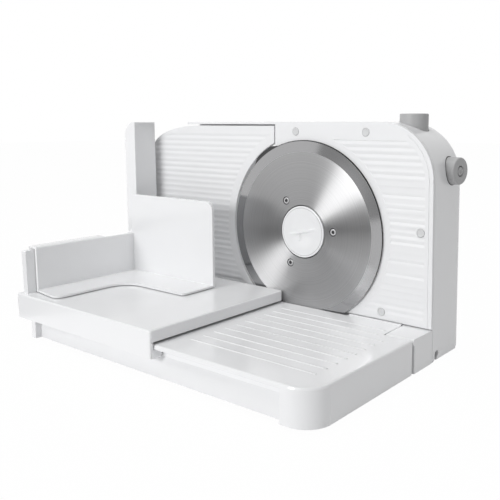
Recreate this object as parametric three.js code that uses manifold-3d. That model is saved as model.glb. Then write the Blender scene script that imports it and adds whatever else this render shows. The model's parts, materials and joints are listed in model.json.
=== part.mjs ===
// Household meat slicer with a folding tray, in millimetres, +Z up.
// Pieces are placed in a frame whose X = 0 is the blade's axis, Y = 0 the front face of the fixed plate and
// Z = 0 the table. The exported group is shifted so that its origin is the middle of the footprint.
import * as THREE from 'three';
import { mergeVertices } from 'three/addons/utils/BufferGeometryUtils.js';
import Module from 'manifold-3d';

const wasm = await Module();
wasm.setup();

// Footprint
const ORIGIN_X = -40;
const ORIGIN_Y = -57;
const GAP = 0.3;
const FOOT_HEIGHT = 3;
const FOOT_RADIUS = 6;

// Blade and drive
const BLADE_RADIUS = 85;
const BLADE_Z = 104;
const BLADE_FRONT = -3.6;
const BLADE_BACK = -2.4;
const BEVEL_WIDTH = 10;
const BLADE_HOLE_RADIUS = 25;
const BLADE_SCREW_CIRCLE = 34.5;
const BLADE_SCREW_ANGLES = [5, 125, 245];
const LOCK_RADIUS = 24.5;
const LOCK_FRONT = -4.6;
const LOCK_RIDGE_ANGLE = 14;
const LOCK_RIDGE_HALF = 0.8;
const LOCK_DISH_RADIUS = 18;
const LOCK_DISH_DEPTH = 0.9;
const LOCK_MARK = [-5, -3.4, -8.8, -3.2];
const CARRIER_RADIUS = 42;
const SPINDLE_RADIUS = 6;
const BEARING_RADIUS = 10.8;
const WHEEL_TEETH = 40;
const TOOTH_MODULE = 1.25;
const WHEEL_RADIUS = WHEEL_TEETH * TOOTH_MODULE / 2;
const WHEEL_FRONT = 21;
const WHEEL_BACK = 31;
const WORM_RADIUS = 6;
const WORM_LENGTH = 24;
const MOTOR_Y = 26;
const MOTOR_Z = BLADE_Z - WHEEL_RADIUS - WORM_RADIUS;
const MOTOR_RADIUS = 18;
const MOTOR_LEFT = 34;
const MOTOR_RIGHT = 92;
const MOTOR_BOSS_RADIUS = 7;
const MOTOR_BOSS_LENGTH = 3;
const CAN_WALL = 2.5;
const SHAFT_RADIUS = 2.5;
const SHAFT_LEFT = -22;
const ARMATURE_RADIUS = 14.8;
const ARMATURE_ENDS = [43, 83];
const ARMATURE_SLOTS = 8;
const SLOT_WIDTH = 1.6;
const SLOT_DEPTH = 4;
const COMMUTATOR_RADIUS = 8;

// Housing
const HOUSE_LEFT = -160;
const HOUSE_RIGHT = 130.5;
const HOUSE_DRAFT = 2.5;
const HOUSE_TOP = 206.5;
const HOUSE_BOTTOM = 4;
const HOUSE_FRONT = 3.3;
const SHELL_BACK = 50;
const COVER_BACK = 58;
const CORNER_RADIUS = 50;
const CORD_Y = 11.5;
const CORD_Z = 9;
const CORD_RADIUS = 3.5;
const WALL = 2.6;
const TOWER_LEFT = -34;
const ARM_RIGHT = -90;
const ARM_FRONT = 21;
const ARM_BACK = 38;
const SEAM_X = -36.5;
const LIP_THICKNESS = 2.4;
const PLATE_THICKNESS = 3;
const PLATE_BOTTOM = 33.5;
const FLUTE_PITCH = 5.7;
const FLUTE_HALF = 2.35;
const FLUTE_DEPTH = 0.45;
const FLUTE_BOTTOM = 42;
const PLATE_MARGIN = 7.5;
const PLATE_TOP_MARGIN = 16;
const BLADE_MARGIN = 7;
const LINE_LEFT = 106;
const LINE_INSET = 3.2;
const LINE_WIDTH = 0.8;
const LINE_DEPTH = 0.5;
const PLUG_RADIUS = 3.5;
const PLUG_PLACES = [[-11.3, 197.5], [65.1, 197.5], [120.3, 114.5], [84.4, 40.5]];

// Stop plate and its adjustment
const STOP_FRONT = 1.5;
const STOP_RIM_BACK = 6.5;
const STOP_LEFT = -217;
const STOP_TOP = 202.6;
const STOP_BOTTOM = 36;
const STOP_ARC_RADIUS = 91;
const SEAM_GAP = 2.2;
const STOP_ARC_MARGIN = 9;
const STOP_CURVE_START = -149;
const GUIDE_X = -125;
const GUIDE_ROD_HEIGHTS = [55, 165];
const KNOB_Z = 110;
const ROD_RADIUS = 3;
const THICKNESS_SPINDLE_RADIUS = 5;
const KNOB_RADIUS = 22;
const KNOB_BACK = 52;

// Buttons
const BUTTON_Y = 36;
const BUTTON_Z = 165;
const BUTTON_RADIUS = 11.7;
const BUTTON_FACE = 139;
const LOCK_BUTTON_X = 95;
const LOCK_BUTTON_Y = 31;
const LOCK_BUTTON_RADIUS = 12.5;
const LOCK_BUTTON_TOP = 213.5;
const BUTTON_FLANGE = 1.2;
const BUTTON_STEM_RADIUS = 3;
const POWER_SWITCH = [101, 115, BUTTON_Y - 6, BUTTON_Y + 8, BUTTON_Z - 8, BUTTON_Z + 8];
const SAFETY_SWITCH = [LOCK_BUTTON_X - 4.5, LOCK_BUTTON_X + 4.5, LOCK_BUTTON_Y - 7, LOCK_BUTTON_Y + 7,
  166, 180];

// Tray and hinge
const TRAY_LEFT = -201;
const TRAY_RIGHT = 132.4;
const TRAY_FRONT = -168.5;
const TRAY_TOP = 32.5;
const TRAY_BOTTOM = FOOT_HEIGHT;
const FRONT_WALL_LIFT = 2.5;
const TRAY_WALL = 3;
const TRAY_CORNER_RADIUS = 22;
const TRAY_EDGE = 2;
const LIP_BOTTOM = 28.7;
const RECESS_BACK = -159.5;
const RECESS_LEFT = -192.5;
const RECESS_RIGHT = 104;
const RIB_COUNT = 10;
const RIB_LEFT = -8.7;
const RIB_RIGHT = 114.6;
const RIB_FRONT = -140;
const RIB_BACK = -23;
const RIB_WIDTH = 2.6;
const RIB_HEIGHT = 0.45;
const BLOCK_FRONT = -31.5;
const BLOCKS = [[HOUSE_LEFT, -135.5], [107, HOUSE_RIGHT + HOUSE_DRAFT]];
const HINGE_RADIUS = 2.6;
const HINGE_Y = BLOCK_FRONT + HINGE_RADIUS;
const HINGE_Z = TRAY_TOP - HINGE_RADIUS;
const PIN_RADIUS = 1.5;
const PIN_INSET = 6;
const KNUCKLE_LENGTH = 9;
const TONGUE_BACK = -4.6;
const BLOCK_GAP = 0.5;
const SLIT = 1;
const TRAY_FEET = [[TRAY_LEFT + 11, RECESS_BACK + 18], [TRAY_RIGHT - 18, RECESS_BACK + 18]];
const BLOCK_FEET = [[122, -22], [-148, -22]];
const SHELL_FEET = [[117, 41], [-148, 30]];

// Carriage and pusher
const CARRIAGE_LEFT = -216;
const CARRIAGE_RIGHT = -22.5;
const CARRIAGE_FRONT = -172;
const CARRIAGE_BACK = -5.5;
const CARRIAGE_TOP = 44.5;
const CARRIAGE_UNDER = 34.6;
const TABLE_THICKNESS = 3;
const TABLE_ROUND = 3;
const SKIRT_BOTTOM = 21;
const APRON_THICKNESS = 1.2;
const SKIRT_FRONT = CARRIAGE_FRONT + APRON_THICKNESS + GAP;
const SKIRT_THICKNESS = 1.5;
const SKIRT_BACK = -152;
const HOOK_THICKNESS = 2.2;
const HOOK_BACK = RECESS_BACK - 1;
const HOOK_END = 3;
const END_WALL_INNER = -203;
const END_WALL_OUTER = -209.5;
const END_WALL_TOP = 86.1;
const END_WALL_FRONT = CARRIAGE_FRONT + 4;
const END_WALL_ROUND = 1.5;
const GUARD_OUTER = -219;
const GUARD_FRONT = -34;
const GUARD_TOP = 206;
const GUARD_ROUND = 14;
const GUARD_FILLET = 14;
const PUSHER_THICKNESS = 3;
const PUSHER_LEFT = END_WALL_INNER + 0.6;
const PUSHER_RIGHT = -80;
const PUSHER_FACE = -43;
const PUSHER_TOP = 130;
const PUSHER_ROUND = 9;
const PUSHER_FRONT = -159;
const PUSHER_WALL_TOP = 88;
const HOOK_RUN_BACK = -79;
const FLANGE_THICKNESS = 2.4;
const FLANGE_WIDTH = 40;
const FLANGE_INNER_RADIUS = 22;

// Finishes
const white = { color: 0xf2f3f4, roughness: 0.3, metalness: 0 };
const grey = { color: 0x8d8f92, roughness: 0.45, metalness: 0 };
const paleGrey = { color: 0xc9cbcd, roughness: 0.45, metalness: 0 };
const dark = { color: 0x2b2c2e, roughness: 0.6, metalness: 0 };
const rubber = { color: 0x5c5e60, roughness: 0.9, metalness: 0 };
const bladeSteel = { color: 0xb9babb, roughness: 0.28, metalness: 1 };
const steel = { color: 0xa9abad, roughness: 0.35, metalness: 1 };
const gearPlastic = { color: 0xe6dfcb, roughness: 0.5, metalness: 0 };
const brass = { color: 0xb08d4f, roughness: 0.4, metalness: 1 };

// Solids
function solid(geometry) {
  const bare = geometry.index ? geometry.toNonIndexed() : geometry.clone();
  bare.deleteAttribute('normal');
  bare.deleteAttribute('uv');
  const merged = mergeVertices(bare, 1e-4);
  return new wasm.Manifold(new wasm.Mesh({
    numProp: 3,
    vertProperties: new Float32Array(merged.attributes.position.array),
    triVerts: new Uint32Array(merged.index.array),
  }));
}

function geometryOf(body) {
  const mesh = body.getMesh();
  const geometry = new THREE.BufferGeometry();
  geometry.setAttribute('position', new THREE.BufferAttribute(new Float32Array(mesh.vertProperties), 3));
  geometry.setIndex(new THREE.BufferAttribute(new Uint32Array(mesh.triVerts), 1));
  geometry.computeVertexNormals();
  return geometry;
}

const join = (first, ...others) => others.reduce((sum, next) => sum.add(next), first);
const cut = (first, ...others) => others.reduce((rest, next) => rest.subtract(next), first);

function block(x0, x1, y0, y1, z0, z1) {
  const geometry = new THREE.BoxGeometry(x1 - x0, y1 - y0, z1 - z0);
  geometry.translate((x0 + x1) / 2, (y0 + y1) / 2, (z0 + z1) / 2);
  return solid(geometry);
}

function outline(...points) {
  return new THREE.Shape(points.map(([x, y]) => new THREE.Vector2(x, y)));
}

function extrude(shape, depth, curveSegments = 8) {
  return new THREE.ExtrudeGeometry(shape, { depth, bevelEnabled: false, curveSegments });
}

// Extrudes an (x, z) outline from y0 to y1.
function alongY(shape, y0, y1, curveSegments) {
  return solid(extrude(shape, y1 - y0, curveSegments).rotateX(Math.PI / 2).translate(0, y1, 0));
}

// Extrudes an (x, y) outline from z0 to z1.
function alongZ(shape, z0, z1, curveSegments) {
  return solid(extrude(shape, z1 - z0, curveSegments).translate(0, 0, z0));
}

// Extrudes a (y, z) outline from x0 to x1.
function alongX(shape, x0, x1, curveSegments) {
  const geometry = extrude(shape, x1 - x0, curveSegments);
  geometry.rotateY(Math.PI / 2).rotateX(Math.PI / 2);
  return solid(geometry.translate(x0, 0, 0));
}

// Revolves a closed (radius, distance) profile about a line along the named axis.
function turned(axis, a, b, profile, segments = 24) {
  const points = [...profile, profile[0]].map(([r, h]) => new THREE.Vector2(r, h));
  const geometry = new THREE.LatheGeometry(points, segments);
  let body = solid(geometry);
  if (body.volume() < 0) {
    geometry.setIndex([...geometry.index.array].reverse());
    body = solid(geometry);
  }
  if (axis === 'y') return body.translate([a, 0, b]);
  if (axis === 'z') return body.rotate([90, 0, 0]).translate([a, b, 0]);
  return body.rotate([0, 0, -90]).translate([0, a, b]);
}

const rod = (axis, a, b, radius, h0, h1, segments = 20) =>
  turned(axis, a, b, [[0, h0], [radius, h0], [radius, h1], [0, h1]], segments);

const pieces = [];

function piece(name, body, finish) {
  const mesh = new THREE.Mesh(geometryOf(body), new THREE.MeshStandardMaterial(finish));
  mesh.name = name;
  pieces.push(mesh);
}

// Housing outline in (x, z), drawn in by the given inset, between two X limits.
function housingOutline(left, inset, bottom = HOUSE_BOTTOM + inset) {
  const top = HOUSE_TOP - inset;
  const right = HOUSE_RIGHT - inset;
  const radius = CORNER_RADIUS - inset;
  const shape = new THREE.Shape();
  shape.moveTo(left, bottom);
  shape.lineTo(right + HOUSE_DRAFT, bottom);
  shape.lineTo(right, top - radius);
  shape.absarc(right - radius, top - radius, radius, 0, Math.PI / 2, false);
  shape.lineTo(left, top);
  shape.closePath();
  return shape;
}

function hingeBlock(x0, x1) {
  const shape = new THREE.Shape();
  shape.moveTo(HINGE_Y, TRAY_BOTTOM);
  shape.lineTo(0, TRAY_BOTTOM);
  shape.lineTo(HOUSE_FRONT + WALL, HOUSE_BOTTOM);
  shape.lineTo(HOUSE_FRONT + WALL, TRAY_TOP);
  shape.lineTo(HINGE_Y, TRAY_TOP);
  shape.absarc(HINGE_Y, HINGE_Z, HINGE_RADIUS, Math.PI / 2, 1.5 * Math.PI, false);
  shape.closePath();
  const side = alongY(housingOutline(HOUSE_LEFT, 0, TRAY_BOTTOM), BLOCK_FRONT - 1, HOUSE_FRONT + WALL + 1, 4);
  return alongX(shape, x0, x1, 6).intersect(side);
}

// Half-round slot at the bottom of the right side, where a cord leaves.
function cordNotch() {
  const shape = new THREE.Shape();
  shape.moveTo(CORD_Y + CORD_RADIUS, 0);
  shape.absarc(CORD_Y, CORD_Z, CORD_RADIUS, 0, Math.PI, false);
  shape.lineTo(CORD_Y - CORD_RADIUS, 0);
  shape.closePath();
  return alongX(shape, HOUSE_RIGHT - 2 * WALL, HOUSE_RIGHT + 10, 6);
}

function motorHousing() {
  const shell = alongY(housingOutline(HOUSE_LEFT, 0), HOUSE_FRONT, SHELL_BACK, 10);
  const far = 80;
  const innerFront = HOUSE_FRONT + WALL;
  const towerRoom = alongY(housingOutline(TOWER_LEFT + WALL, WALL, PLATE_BOTTOM), innerFront, far, 10);
  const baseRoom = block(TOWER_LEFT + WALL, HOUSE_RIGHT - WALL, innerFront + WALL, far,
    HOUSE_BOTTOM + WALL, PLATE_BOTTOM + 1);
  const stopRecess = block(HOUSE_LEFT - 20, SEAM_X, 0, ARM_FRONT, PLATE_BOTTOM, HOUSE_TOP - LIP_THICKNESS);
  const sliceWindow = block(ARM_RIGHT, TOWER_LEFT, 0, far, 40, 188);
  const armRoom = block(HOUSE_LEFT + WALL, ARM_RIGHT - WALL, ARM_FRONT + WALL, far,
    HOUSE_BOTTOM + WALL, HOUSE_TOP - WALL);
  const armBackCut = block(HOUSE_LEFT - 5, ARM_RIGHT + 0.1, ARM_BACK, far, 0, HOUSE_TOP + 5);
  const tongueRoom = block(BLOCKS[0][1], BLOCKS[1][0], 0, HOUSE_FRONT + 1.7, 0, PLATE_BOTTOM - 0.1);
  let body = cut(shell, towerRoom, baseRoom, stopRecess, sliceWindow, armRoom, armBackCut, tongueRoom);
  const bearingBoss = rod('y', 0, BLADE_Z, BEARING_RADIUS + 4, HOUSE_FRONT, 14, 18);
  const powerPost = block(103, 113, innerFront - 1, POWER_SWITCH[2] - GAP, BUTTON_Z - 5, BUTTON_Z + 5);
  const safetyPost = block(LOCK_BUTTON_X - 3.5, LOCK_BUTTON_X + 3.5, innerFront - 1, SAFETY_SWITCH[2] - GAP,
    SAFETY_SWITCH[4] + 3, SAFETY_SWITCH[5] - 1);
  body = join(body, bearingBoss, powerPost, safetyPost);
  for (const [x0, x1] of BLOCKS) {
    body = join(body, hingeBlock(x0, x1));
    const inner = x0 === HOUSE_LEFT ? x1 : x0;
    const outer = x0 === HOUSE_LEFT ? x0 + PIN_INSET - 1 : x1 - PIN_INSET + 1;
    body = cut(body, rod('x', HINGE_Y, HINGE_Z, PIN_RADIUS + GAP, Math.min(inner - 1, outer),
      Math.max(inner + 1, outer), 12));
  }
  body = cut(body,
    rod('y', 0, BLADE_Z, BEARING_RADIUS + GAP, 7.2, 20, 16),
    rod('y', 0, BLADE_Z, SPINDLE_RADIUS + 7, 0, 8, 16),
    rod('x', BUTTON_Y, BUTTON_Z, BUTTON_RADIUS + 0.4, 118, 150, 24),
    rod('z', LOCK_BUTTON_X, LOCK_BUTTON_Y, LOCK_BUTTON_RADIUS + 0.4, 185, 230, 28),
    rod('y', GUIDE_X, KNOB_Z, 8.8, 10, 30, 14),
    cordNotch());
  for (const z of GUIDE_ROD_HEIGHTS) body = cut(body, rod('y', GUIDE_X, z, 6.3, 10, 30, 12));
  for (const [x, z] of PLUG_PLACES) body = cut(body, rod('y', x, z, 1.6, 0, innerFront + 1, 10));
  return body;
}

function backCover() {
  const inset = 1.2;
  const shape = housingOutline(TOWER_LEFT + inset, inset);
  const bevel = { depth: 3, bevelEnabled: true, bevelThickness: 4.4, bevelSize: 4, bevelOffset: -4,
    bevelSegments: 2, curveSegments: 10 };
  const slab = new THREE.ExtrudeGeometry(shape, bevel).rotateX(Math.PI / 2).translate(0, COVER_BACK - 4.4, 0);
  const front = SHELL_BACK + GAP;
  let body = cut(solid(slab), block(-80, 180, 0, front, -20, 240));
  const pocket = alongY(housingOutline(TOWER_LEFT + 8, 8), front - 1, COVER_BACK - WALL, 8);
  body = cut(body, pocket);
  const boss = rod('y', 0, BLADE_Z, BEARING_RADIUS + 4, 33.5, COVER_BACK - 1, 18);
  body = cut(join(body, boss), rod('y', 0, BLADE_Z, BEARING_RADIUS + GAP, 30, 41, 16));
  const vents = [0, 1, 2, 3, 4, 5].map((i) => block(52, 92, 40, 60, 46 + i * 7, 49 + i * 7));
  return cut(body, ...vents, ...coverScrewPlaces().map(([x, z]) => rod('y', x, z, 3.9, 40, 60, 12)));
}

const coverScrewPlaces = () => [[-22, 18], [118, 18], [-22, 192], [62, 194]];

function armCover() {
  const shape = outline([HOUSE_LEFT + 0.5, HOUSE_BOTTOM + 0.5], [ARM_RIGHT - 0.5, HOUSE_BOTTOM + 0.5],
    [ARM_RIGHT - 0.5, HOUSE_TOP - 0.5], [HOUSE_LEFT + 0.5, HOUSE_TOP - 0.5]);
  const front = ARM_BACK + GAP;
  let body = alongY(shape, front, front + 2.5);
  for (const z of GUIDE_ROD_HEIGHTS) {
    body = join(body, rod('y', GUIDE_X, z, 6.5, 36, front + 1, 12));
    body = cut(body, rod('y', GUIDE_X, z, ROD_RADIUS + GAP, 30, front + 1, 12));
  }
  return cut(body, rod('y', GUIDE_X, KNOB_Z, THICKNESS_SPINDLE_RADIUS + GAP, 30, 50, 14));
}

// Shallow grooves along X between two heights, kept inside a region.
function flutes(x0, x1, z0, z1, face, region) {
  const lead = 0.04;
  const half = FLUTE_HALF * (FLUTE_DEPTH + lead) / FLUTE_DEPTH;
  const bars = [];
  for (let z = z0; z <= z1; z += FLUTE_PITCH) {
    const groove = outline([face - lead, z - half], [face + FLUTE_DEPTH, z], [face - lead, z + half]);
    bars.push(alongX(groove, x0, x1));
  }
  return join(...bars).intersect(region);
}

function frontPlate() {
  const edge = housingOutline(SEAM_X + GAP, 0, PLATE_BOTTOM);
  let body = alongY(edge, 0, PLATE_THICKNESS, 10);
  const region = cut(
    alongY(housingOutline(SEAM_X + 4, PLATE_MARGIN, PLATE_BOTTOM + 6), -2, PLATE_THICKNESS, 8),
    block(-100, 200, -5, 5, HOUSE_TOP - PLATE_TOP_MARGIN, HOUSE_TOP),
    ...PLUG_PLACES.map(([x, z]) => rod('y', x, z, PLUG_RADIUS + 2, -3, 4, 10)),
    rod('y', 0, BLADE_Z, BLADE_RADIUS + BLADE_MARGIN, -3, 4, 40));
  body = cut(body, flutes(SEAM_X - 5, HOUSE_RIGHT, FLUTE_BOTTOM, HOUSE_TOP - PLATE_TOP_MARGIN, 0, region));
  const line = cut(alongY(housingOutline(0, LINE_INSET, PLATE_BOTTOM + 1), -1, LINE_DEPTH, 8),
    alongY(housingOutline(0, LINE_INSET + LINE_WIDTH, PLATE_BOTTOM - 1), -2, 1, 8));
  body = cut(body, line.intersect(block(LINE_LEFT, HOUSE_RIGHT + 5, -2, 2, 0, HOUSE_TOP)));
  const holes = PLUG_PLACES.map(([x, z]) => rod('y', x, z, PLUG_RADIUS + GAP, -1, 4, 16));
  return cut(body, rod('y', 0, BLADE_Z, CARRIER_RADIUS + 2, -1, 5, 28), ...holes);
}

function blade() {
  const rim = BLADE_RADIUS - BEVEL_WIDTH;
  const disc = turned('y', 0, BLADE_Z, [[BLADE_HOLE_RADIUS, BLADE_BACK], [BLADE_HOLE_RADIUS, BLADE_FRONT],
    [rim, BLADE_FRONT], [BLADE_RADIUS, BLADE_BACK - 0.2], [BLADE_RADIUS, BLADE_BACK]], 64);
  return cut(disc, ...bladeScrewPlaces().map(([x, z]) => turned('y', x, z,
    [[0, BLADE_FRONT - 0.1], [3.6, BLADE_FRONT - 0.1], [2.2, BLADE_BACK + 0.1], [0, BLADE_BACK + 0.1]], 16)));
}

function bladeScrewPlaces() {
  return BLADE_SCREW_ANGLES.map((degrees) => {
    const angle = THREE.MathUtils.degToRad(degrees);
    return [BLADE_SCREW_CIRCLE * Math.cos(angle), BLADE_Z + BLADE_SCREW_CIRCLE * Math.sin(angle)];
  });
}

function bladeCarrier() {
  const bore = SPINDLE_RADIUS + GAP;
  const disc = turned('y', 0, BLADE_Z, [[bore, -0.1], [LOCK_RADIUS + 0.8, -0.1], [LOCK_RADIUS + 0.8, -2.1],
    [CARRIER_RADIUS, -2.1], [CARRIER_RADIUS, 2.4], [11, 2.4], [11, 6.6], [bore, 6.6]], 24);
  return cut(disc, ...bladeScrewPlaces().map(([x, z]) => rod('y', x, z, 1.9, -3, 3, 8)));
}

function bladeLock() {
  const cap = turned('y', 0, BLADE_Z, [[0, LOCK_FRONT], [LOCK_RADIUS - 3.5, LOCK_FRONT],
    [LOCK_RADIUS - 1, LOCK_FRONT + 0.5], [LOCK_RADIUS, LOCK_FRONT + 1.4], [LOCK_RADIUS, -0.5],
    [4, -0.5], [4, 7.5], [0, 7.5]], 36);
  const start = Math.asin(LOCK_RIDGE_HALF / LOCK_DISH_RADIUS);
  const moon = new THREE.Shape();
  moon.absarc(0, 0, LOCK_DISH_RADIUS, start, Math.PI - start, false);
  moon.closePath();
  const dish = alongY(moon, LOCK_FRONT - 1, LOCK_FRONT + LOCK_DISH_DEPTH, 14);
  const upper = dish.rotate([0, -LOCK_RIDGE_ANGLE, 0]);
  const lower = upper.rotate([0, 180, 0]);
  const [x0, x1, z0, z1] = LOCK_MARK;
  const mark = block(x0, x1, LOCK_FRONT, LOCK_FRONT + LOCK_DISH_DEPTH + 0.5, BLADE_Z + z0, BLADE_Z + z1);
  const dished = cut(cap, upper.translate([0, 0, BLADE_Z]), lower.translate([0, 0, BLADE_Z]));
  return join(dished, mark);
}

const bladeScrew = (x, z) => turned('y', x, z, [[0, BLADE_FRONT + 0.1], [3.1, BLADE_FRONT + 0.1],
  [1.7, BLADE_BACK], [1.5, 1.6], [0, 1.6]], 16);

const spindle = () => turned('y', 0, BLADE_Z, [[4.4, 0.2], [SPINDLE_RADIUS, 0.2], [SPINDLE_RADIUS, 40.5],
  [0, 40.5], [0, 8.5], [4.4, 8.5]], 16);

const bearing = (y0, y1) => turned('y', 0, BLADE_Z, [[SPINDLE_RADIUS + GAP, y0], [BEARING_RADIUS, y0],
  [BEARING_RADIUS, y1], [SPINDLE_RADIUS + GAP, y1]], 16);

// Teeth are narrower than half the pitch, which leaves play in the mesh, and lean with the worm's thread.
function wormWheel() {
  const shape = new THREE.Shape();
  const root = WHEEL_RADIUS - 1.25 * TOOTH_MODULE;
  const tip = WHEEL_RADIUS + 0.9 * TOOTH_MODULE;
  const pitch = 2 * Math.PI / WHEEL_TEETH;
  for (let i = 0; i < WHEEL_TEETH; i += 1) {
    const middle = (i + 0.5) * pitch - Math.PI / 2;
    for (const [radius, side] of [[root, -0.26], [tip, -0.1], [tip, 0.1], [root, 0.26]]) {
      const angle = middle + side * pitch;
      const place = [radius * Math.cos(angle), radius * Math.sin(angle)];
      if (i === 0 && side === -0.26) shape.moveTo(...place);
      else shape.lineTo(...place);
    }
  }
  shape.closePath();
  const width = WHEEL_BACK - WHEEL_FRONT;
  const geometry = extrude(shape, width).rotateX(Math.PI / 2).translate(0, width / 2, 0);
  const lean = Math.PI * TOOTH_MODULE / (2 * Math.PI * WORM_RADIUS) / WHEEL_RADIUS;
  const place = geometry.attributes.position;
  const point = new THREE.Vector3();
  const axis = new THREE.Vector3(0, 1, 0);
  for (let i = 0; i < place.count; i += 1) {
    point.fromBufferAttribute(place, i);
    point.applyAxisAngle(axis, point.y * lean);
    place.setXYZ(i, point.x, point.y, point.z);
  }
  const rim = solid(geometry).translate([0, (WHEEL_FRONT + WHEEL_BACK) / 2, BLADE_Z]);
  const hollow = turned('y', 0, BLADE_Z, [[11, WHEEL_FRONT - 1], [19, WHEEL_FRONT - 1],
    [19, WHEEL_FRONT + 3.5], [11, WHEEL_FRONT + 3.5]], 16);
  return cut(rim, hollow, rod('y', 0, BLADE_Z, SPINDLE_RADIUS + GAP, WHEEL_FRONT - 2, WHEEL_BACK + 2, 16));
}

// A single-start thread: the radius at each point follows how far it lies from the thread's crest.
function motorWorm() {
  const lead = Math.PI * TOOTH_MODULE;
  const around = 10;
  const along = 36;
  const core = WORM_RADIUS - 1.25 * TOOTH_MODULE;
  const crest = WORM_RADIUS + 0.9 * TOOTH_MODULE;
  const points = [];
  const faces = [];
  for (let j = 0; j <= along; j += 1) {
    const x = -WORM_LENGTH / 2 + WORM_LENGTH * j / along;
    for (let i = 0; i < around; i += 1) {
      const turn = i / around;
      const offset = ((x / lead - turn + 0.25) % 1 + 1.5) % 1 - 0.5;
      const height = THREE.MathUtils.clamp((0.26 - Math.abs(offset)) / 0.16, 0, 1);
      const radius = j === 0 || j === along ? core : core + (crest - core) * height;
      points.push(x, radius * Math.cos(2 * Math.PI * turn), radius * Math.sin(2 * Math.PI * turn));
    }
  }
  const at = (i, j) => j * around + i % around;
  for (let j = 0; j < along; j += 1) {
    for (let i = 0; i < around; i += 1) {
      faces.push(at(i, j), at(i, j + 1), at(i + 1, j), at(i + 1, j), at(i, j + 1), at(i + 1, j + 1));
    }
  }
  for (let i = 1; i < around - 1; i += 1) {
    faces.push(at(0, 0), at(i, 0), at(i + 1, 0));
    faces.push(at(0, along), at(i + 1, along), at(i, along));
  }
  const geometry = new THREE.BufferGeometry();
  geometry.setAttribute('position', new THREE.Float32BufferAttribute(points, 3));
  geometry.setIndex(faces);
  let worm = solid(geometry);
  if (worm.volume() < 0) {
    geometry.setIndex(faces.reverse());
    worm = solid(geometry);
  }
  worm = worm.translate([0, MOTOR_Y, MOTOR_Z]);
  return join(worm, rod('x', MOTOR_Y, MOTOR_Z, SHAFT_RADIUS, SHAFT_LEFT, MOTOR_RIGHT + 1, 12));
}

function motor() {
  const bore = SHAFT_RADIUS + GAP;
  const room = MOTOR_RADIUS - CAN_WALL;
  const round = 1.5;
  return turned('x', MOTOR_Y, MOTOR_Z, [[bore, MOTOR_LEFT - MOTOR_BOSS_LENGTH],
    [MOTOR_BOSS_RADIUS, MOTOR_LEFT - MOTOR_BOSS_LENGTH], [MOTOR_BOSS_RADIUS, MOTOR_LEFT],
    [MOTOR_RADIUS - round, MOTOR_LEFT], [MOTOR_RADIUS, MOTOR_LEFT + round], [MOTOR_RADIUS, MOTOR_RIGHT],
    [room, MOTOR_RIGHT], [room, MOTOR_LEFT + CAN_WALL], [bore, MOTOR_LEFT + CAN_WALL]], 16);
}

// Slotted core and commutator, fixed on the worm's shaft inside the can.
function motorArmature() {
  const [left, right] = ARMATURE_ENDS;
  const bore = SHAFT_RADIUS + GAP;
  const core = turned('x', MOTOR_Y, MOTOR_Z, [[bore, left], [ARMATURE_RADIUS, left], [ARMATURE_RADIUS, right],
    [COMMUTATOR_RADIUS, right], [COMMUTATOR_RADIUS, right + 4], [bore, right + 4]], 16);
  const slot = block(left - 1, right + 1, -SLOT_WIDTH / 2, SLOT_WIDTH / 2,
    ARMATURE_RADIUS - SLOT_DEPTH, ARMATURE_RADIUS + 1);
  const slots = [];
  for (let i = 0; i < ARMATURE_SLOTS; i += 1) {
    slots.push(slot.rotate([360 * (i + 0.5) / ARMATURE_SLOTS, 0, 0]).translate([0, MOTOR_Y, MOTOR_Z]));
  }
  return cut(core, ...slots);
}

function motorEndCap() {
  const bore = SHAFT_RADIUS + GAP;
  const plug = MOTOR_RADIUS - CAN_WALL - GAP;
  const flange = MOTOR_RIGHT + GAP;
  const end = flange + CAN_WALL + MOTOR_BOSS_LENGTH;
  return turned('x', MOTOR_Y, MOTOR_Z, [[bore, MOTOR_RIGHT - CAN_WALL], [plug, MOTOR_RIGHT - CAN_WALL],
    [plug, flange], [MOTOR_RADIUS, flange], [MOTOR_RADIUS, flange + CAN_WALL],
    [MOTOR_BOSS_RADIUS, flange + CAN_WALL], [MOTOR_BOSS_RADIUS, end], [0, end], [0, MOTOR_RIGHT + 2],
    [bore, MOTOR_RIGHT + 2]], 16);
}

function motorClamp() {
  const front = HOUSE_FRONT + WALL + GAP;
  const saddle = block(50, 76, front, MOTOR_Y - 3, MOTOR_Z - 22, MOTOR_Z + 22);
  return cut(saddle, rod('x', MOTOR_Y, MOTOR_Z, MOTOR_RADIUS + GAP, 40, 90, 20));
}

function wormBush() {
  const front = HOUSE_FRONT + WALL + GAP;
  const post = block(-25, -18, front, MOTOR_Y + 6, MOTOR_Z - 6, MOTOR_Z + 6);
  return cut(post, rod('x', MOTOR_Y, MOTOR_Z, SHAFT_RADIUS + GAP, -30, -10, 12));
}

// Stop plate outline in (x, z), drawn in by the given inset.
function stopOutline(inset, arcInset = inset, leftInset = inset) {
  const radius = STOP_ARC_RADIUS + arcInset;
  const right = SEAM_X - SEAM_GAP - inset;
  const top = STOP_TOP - inset;
  const bottom = STOP_BOTTOM + inset;
  const left = STOP_LEFT + leftInset;
  const upper = Math.acos(right / radius);
  const lower = Math.PI + Math.asin((BLADE_Z - bottom) / radius);
  const shape = new THREE.Shape();
  shape.moveTo(right, top);
  shape.lineTo(STOP_CURVE_START, top);
  shape.quadraticCurveTo(left, top - 4, left, top - 33);
  shape.lineTo(left, bottom);
  shape.lineTo(radius * Math.cos(lower), bottom);
  shape.absarc(0, BLADE_Z, radius, lower, upper, true);
  shape.closePath();
  return shape;
}

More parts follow.
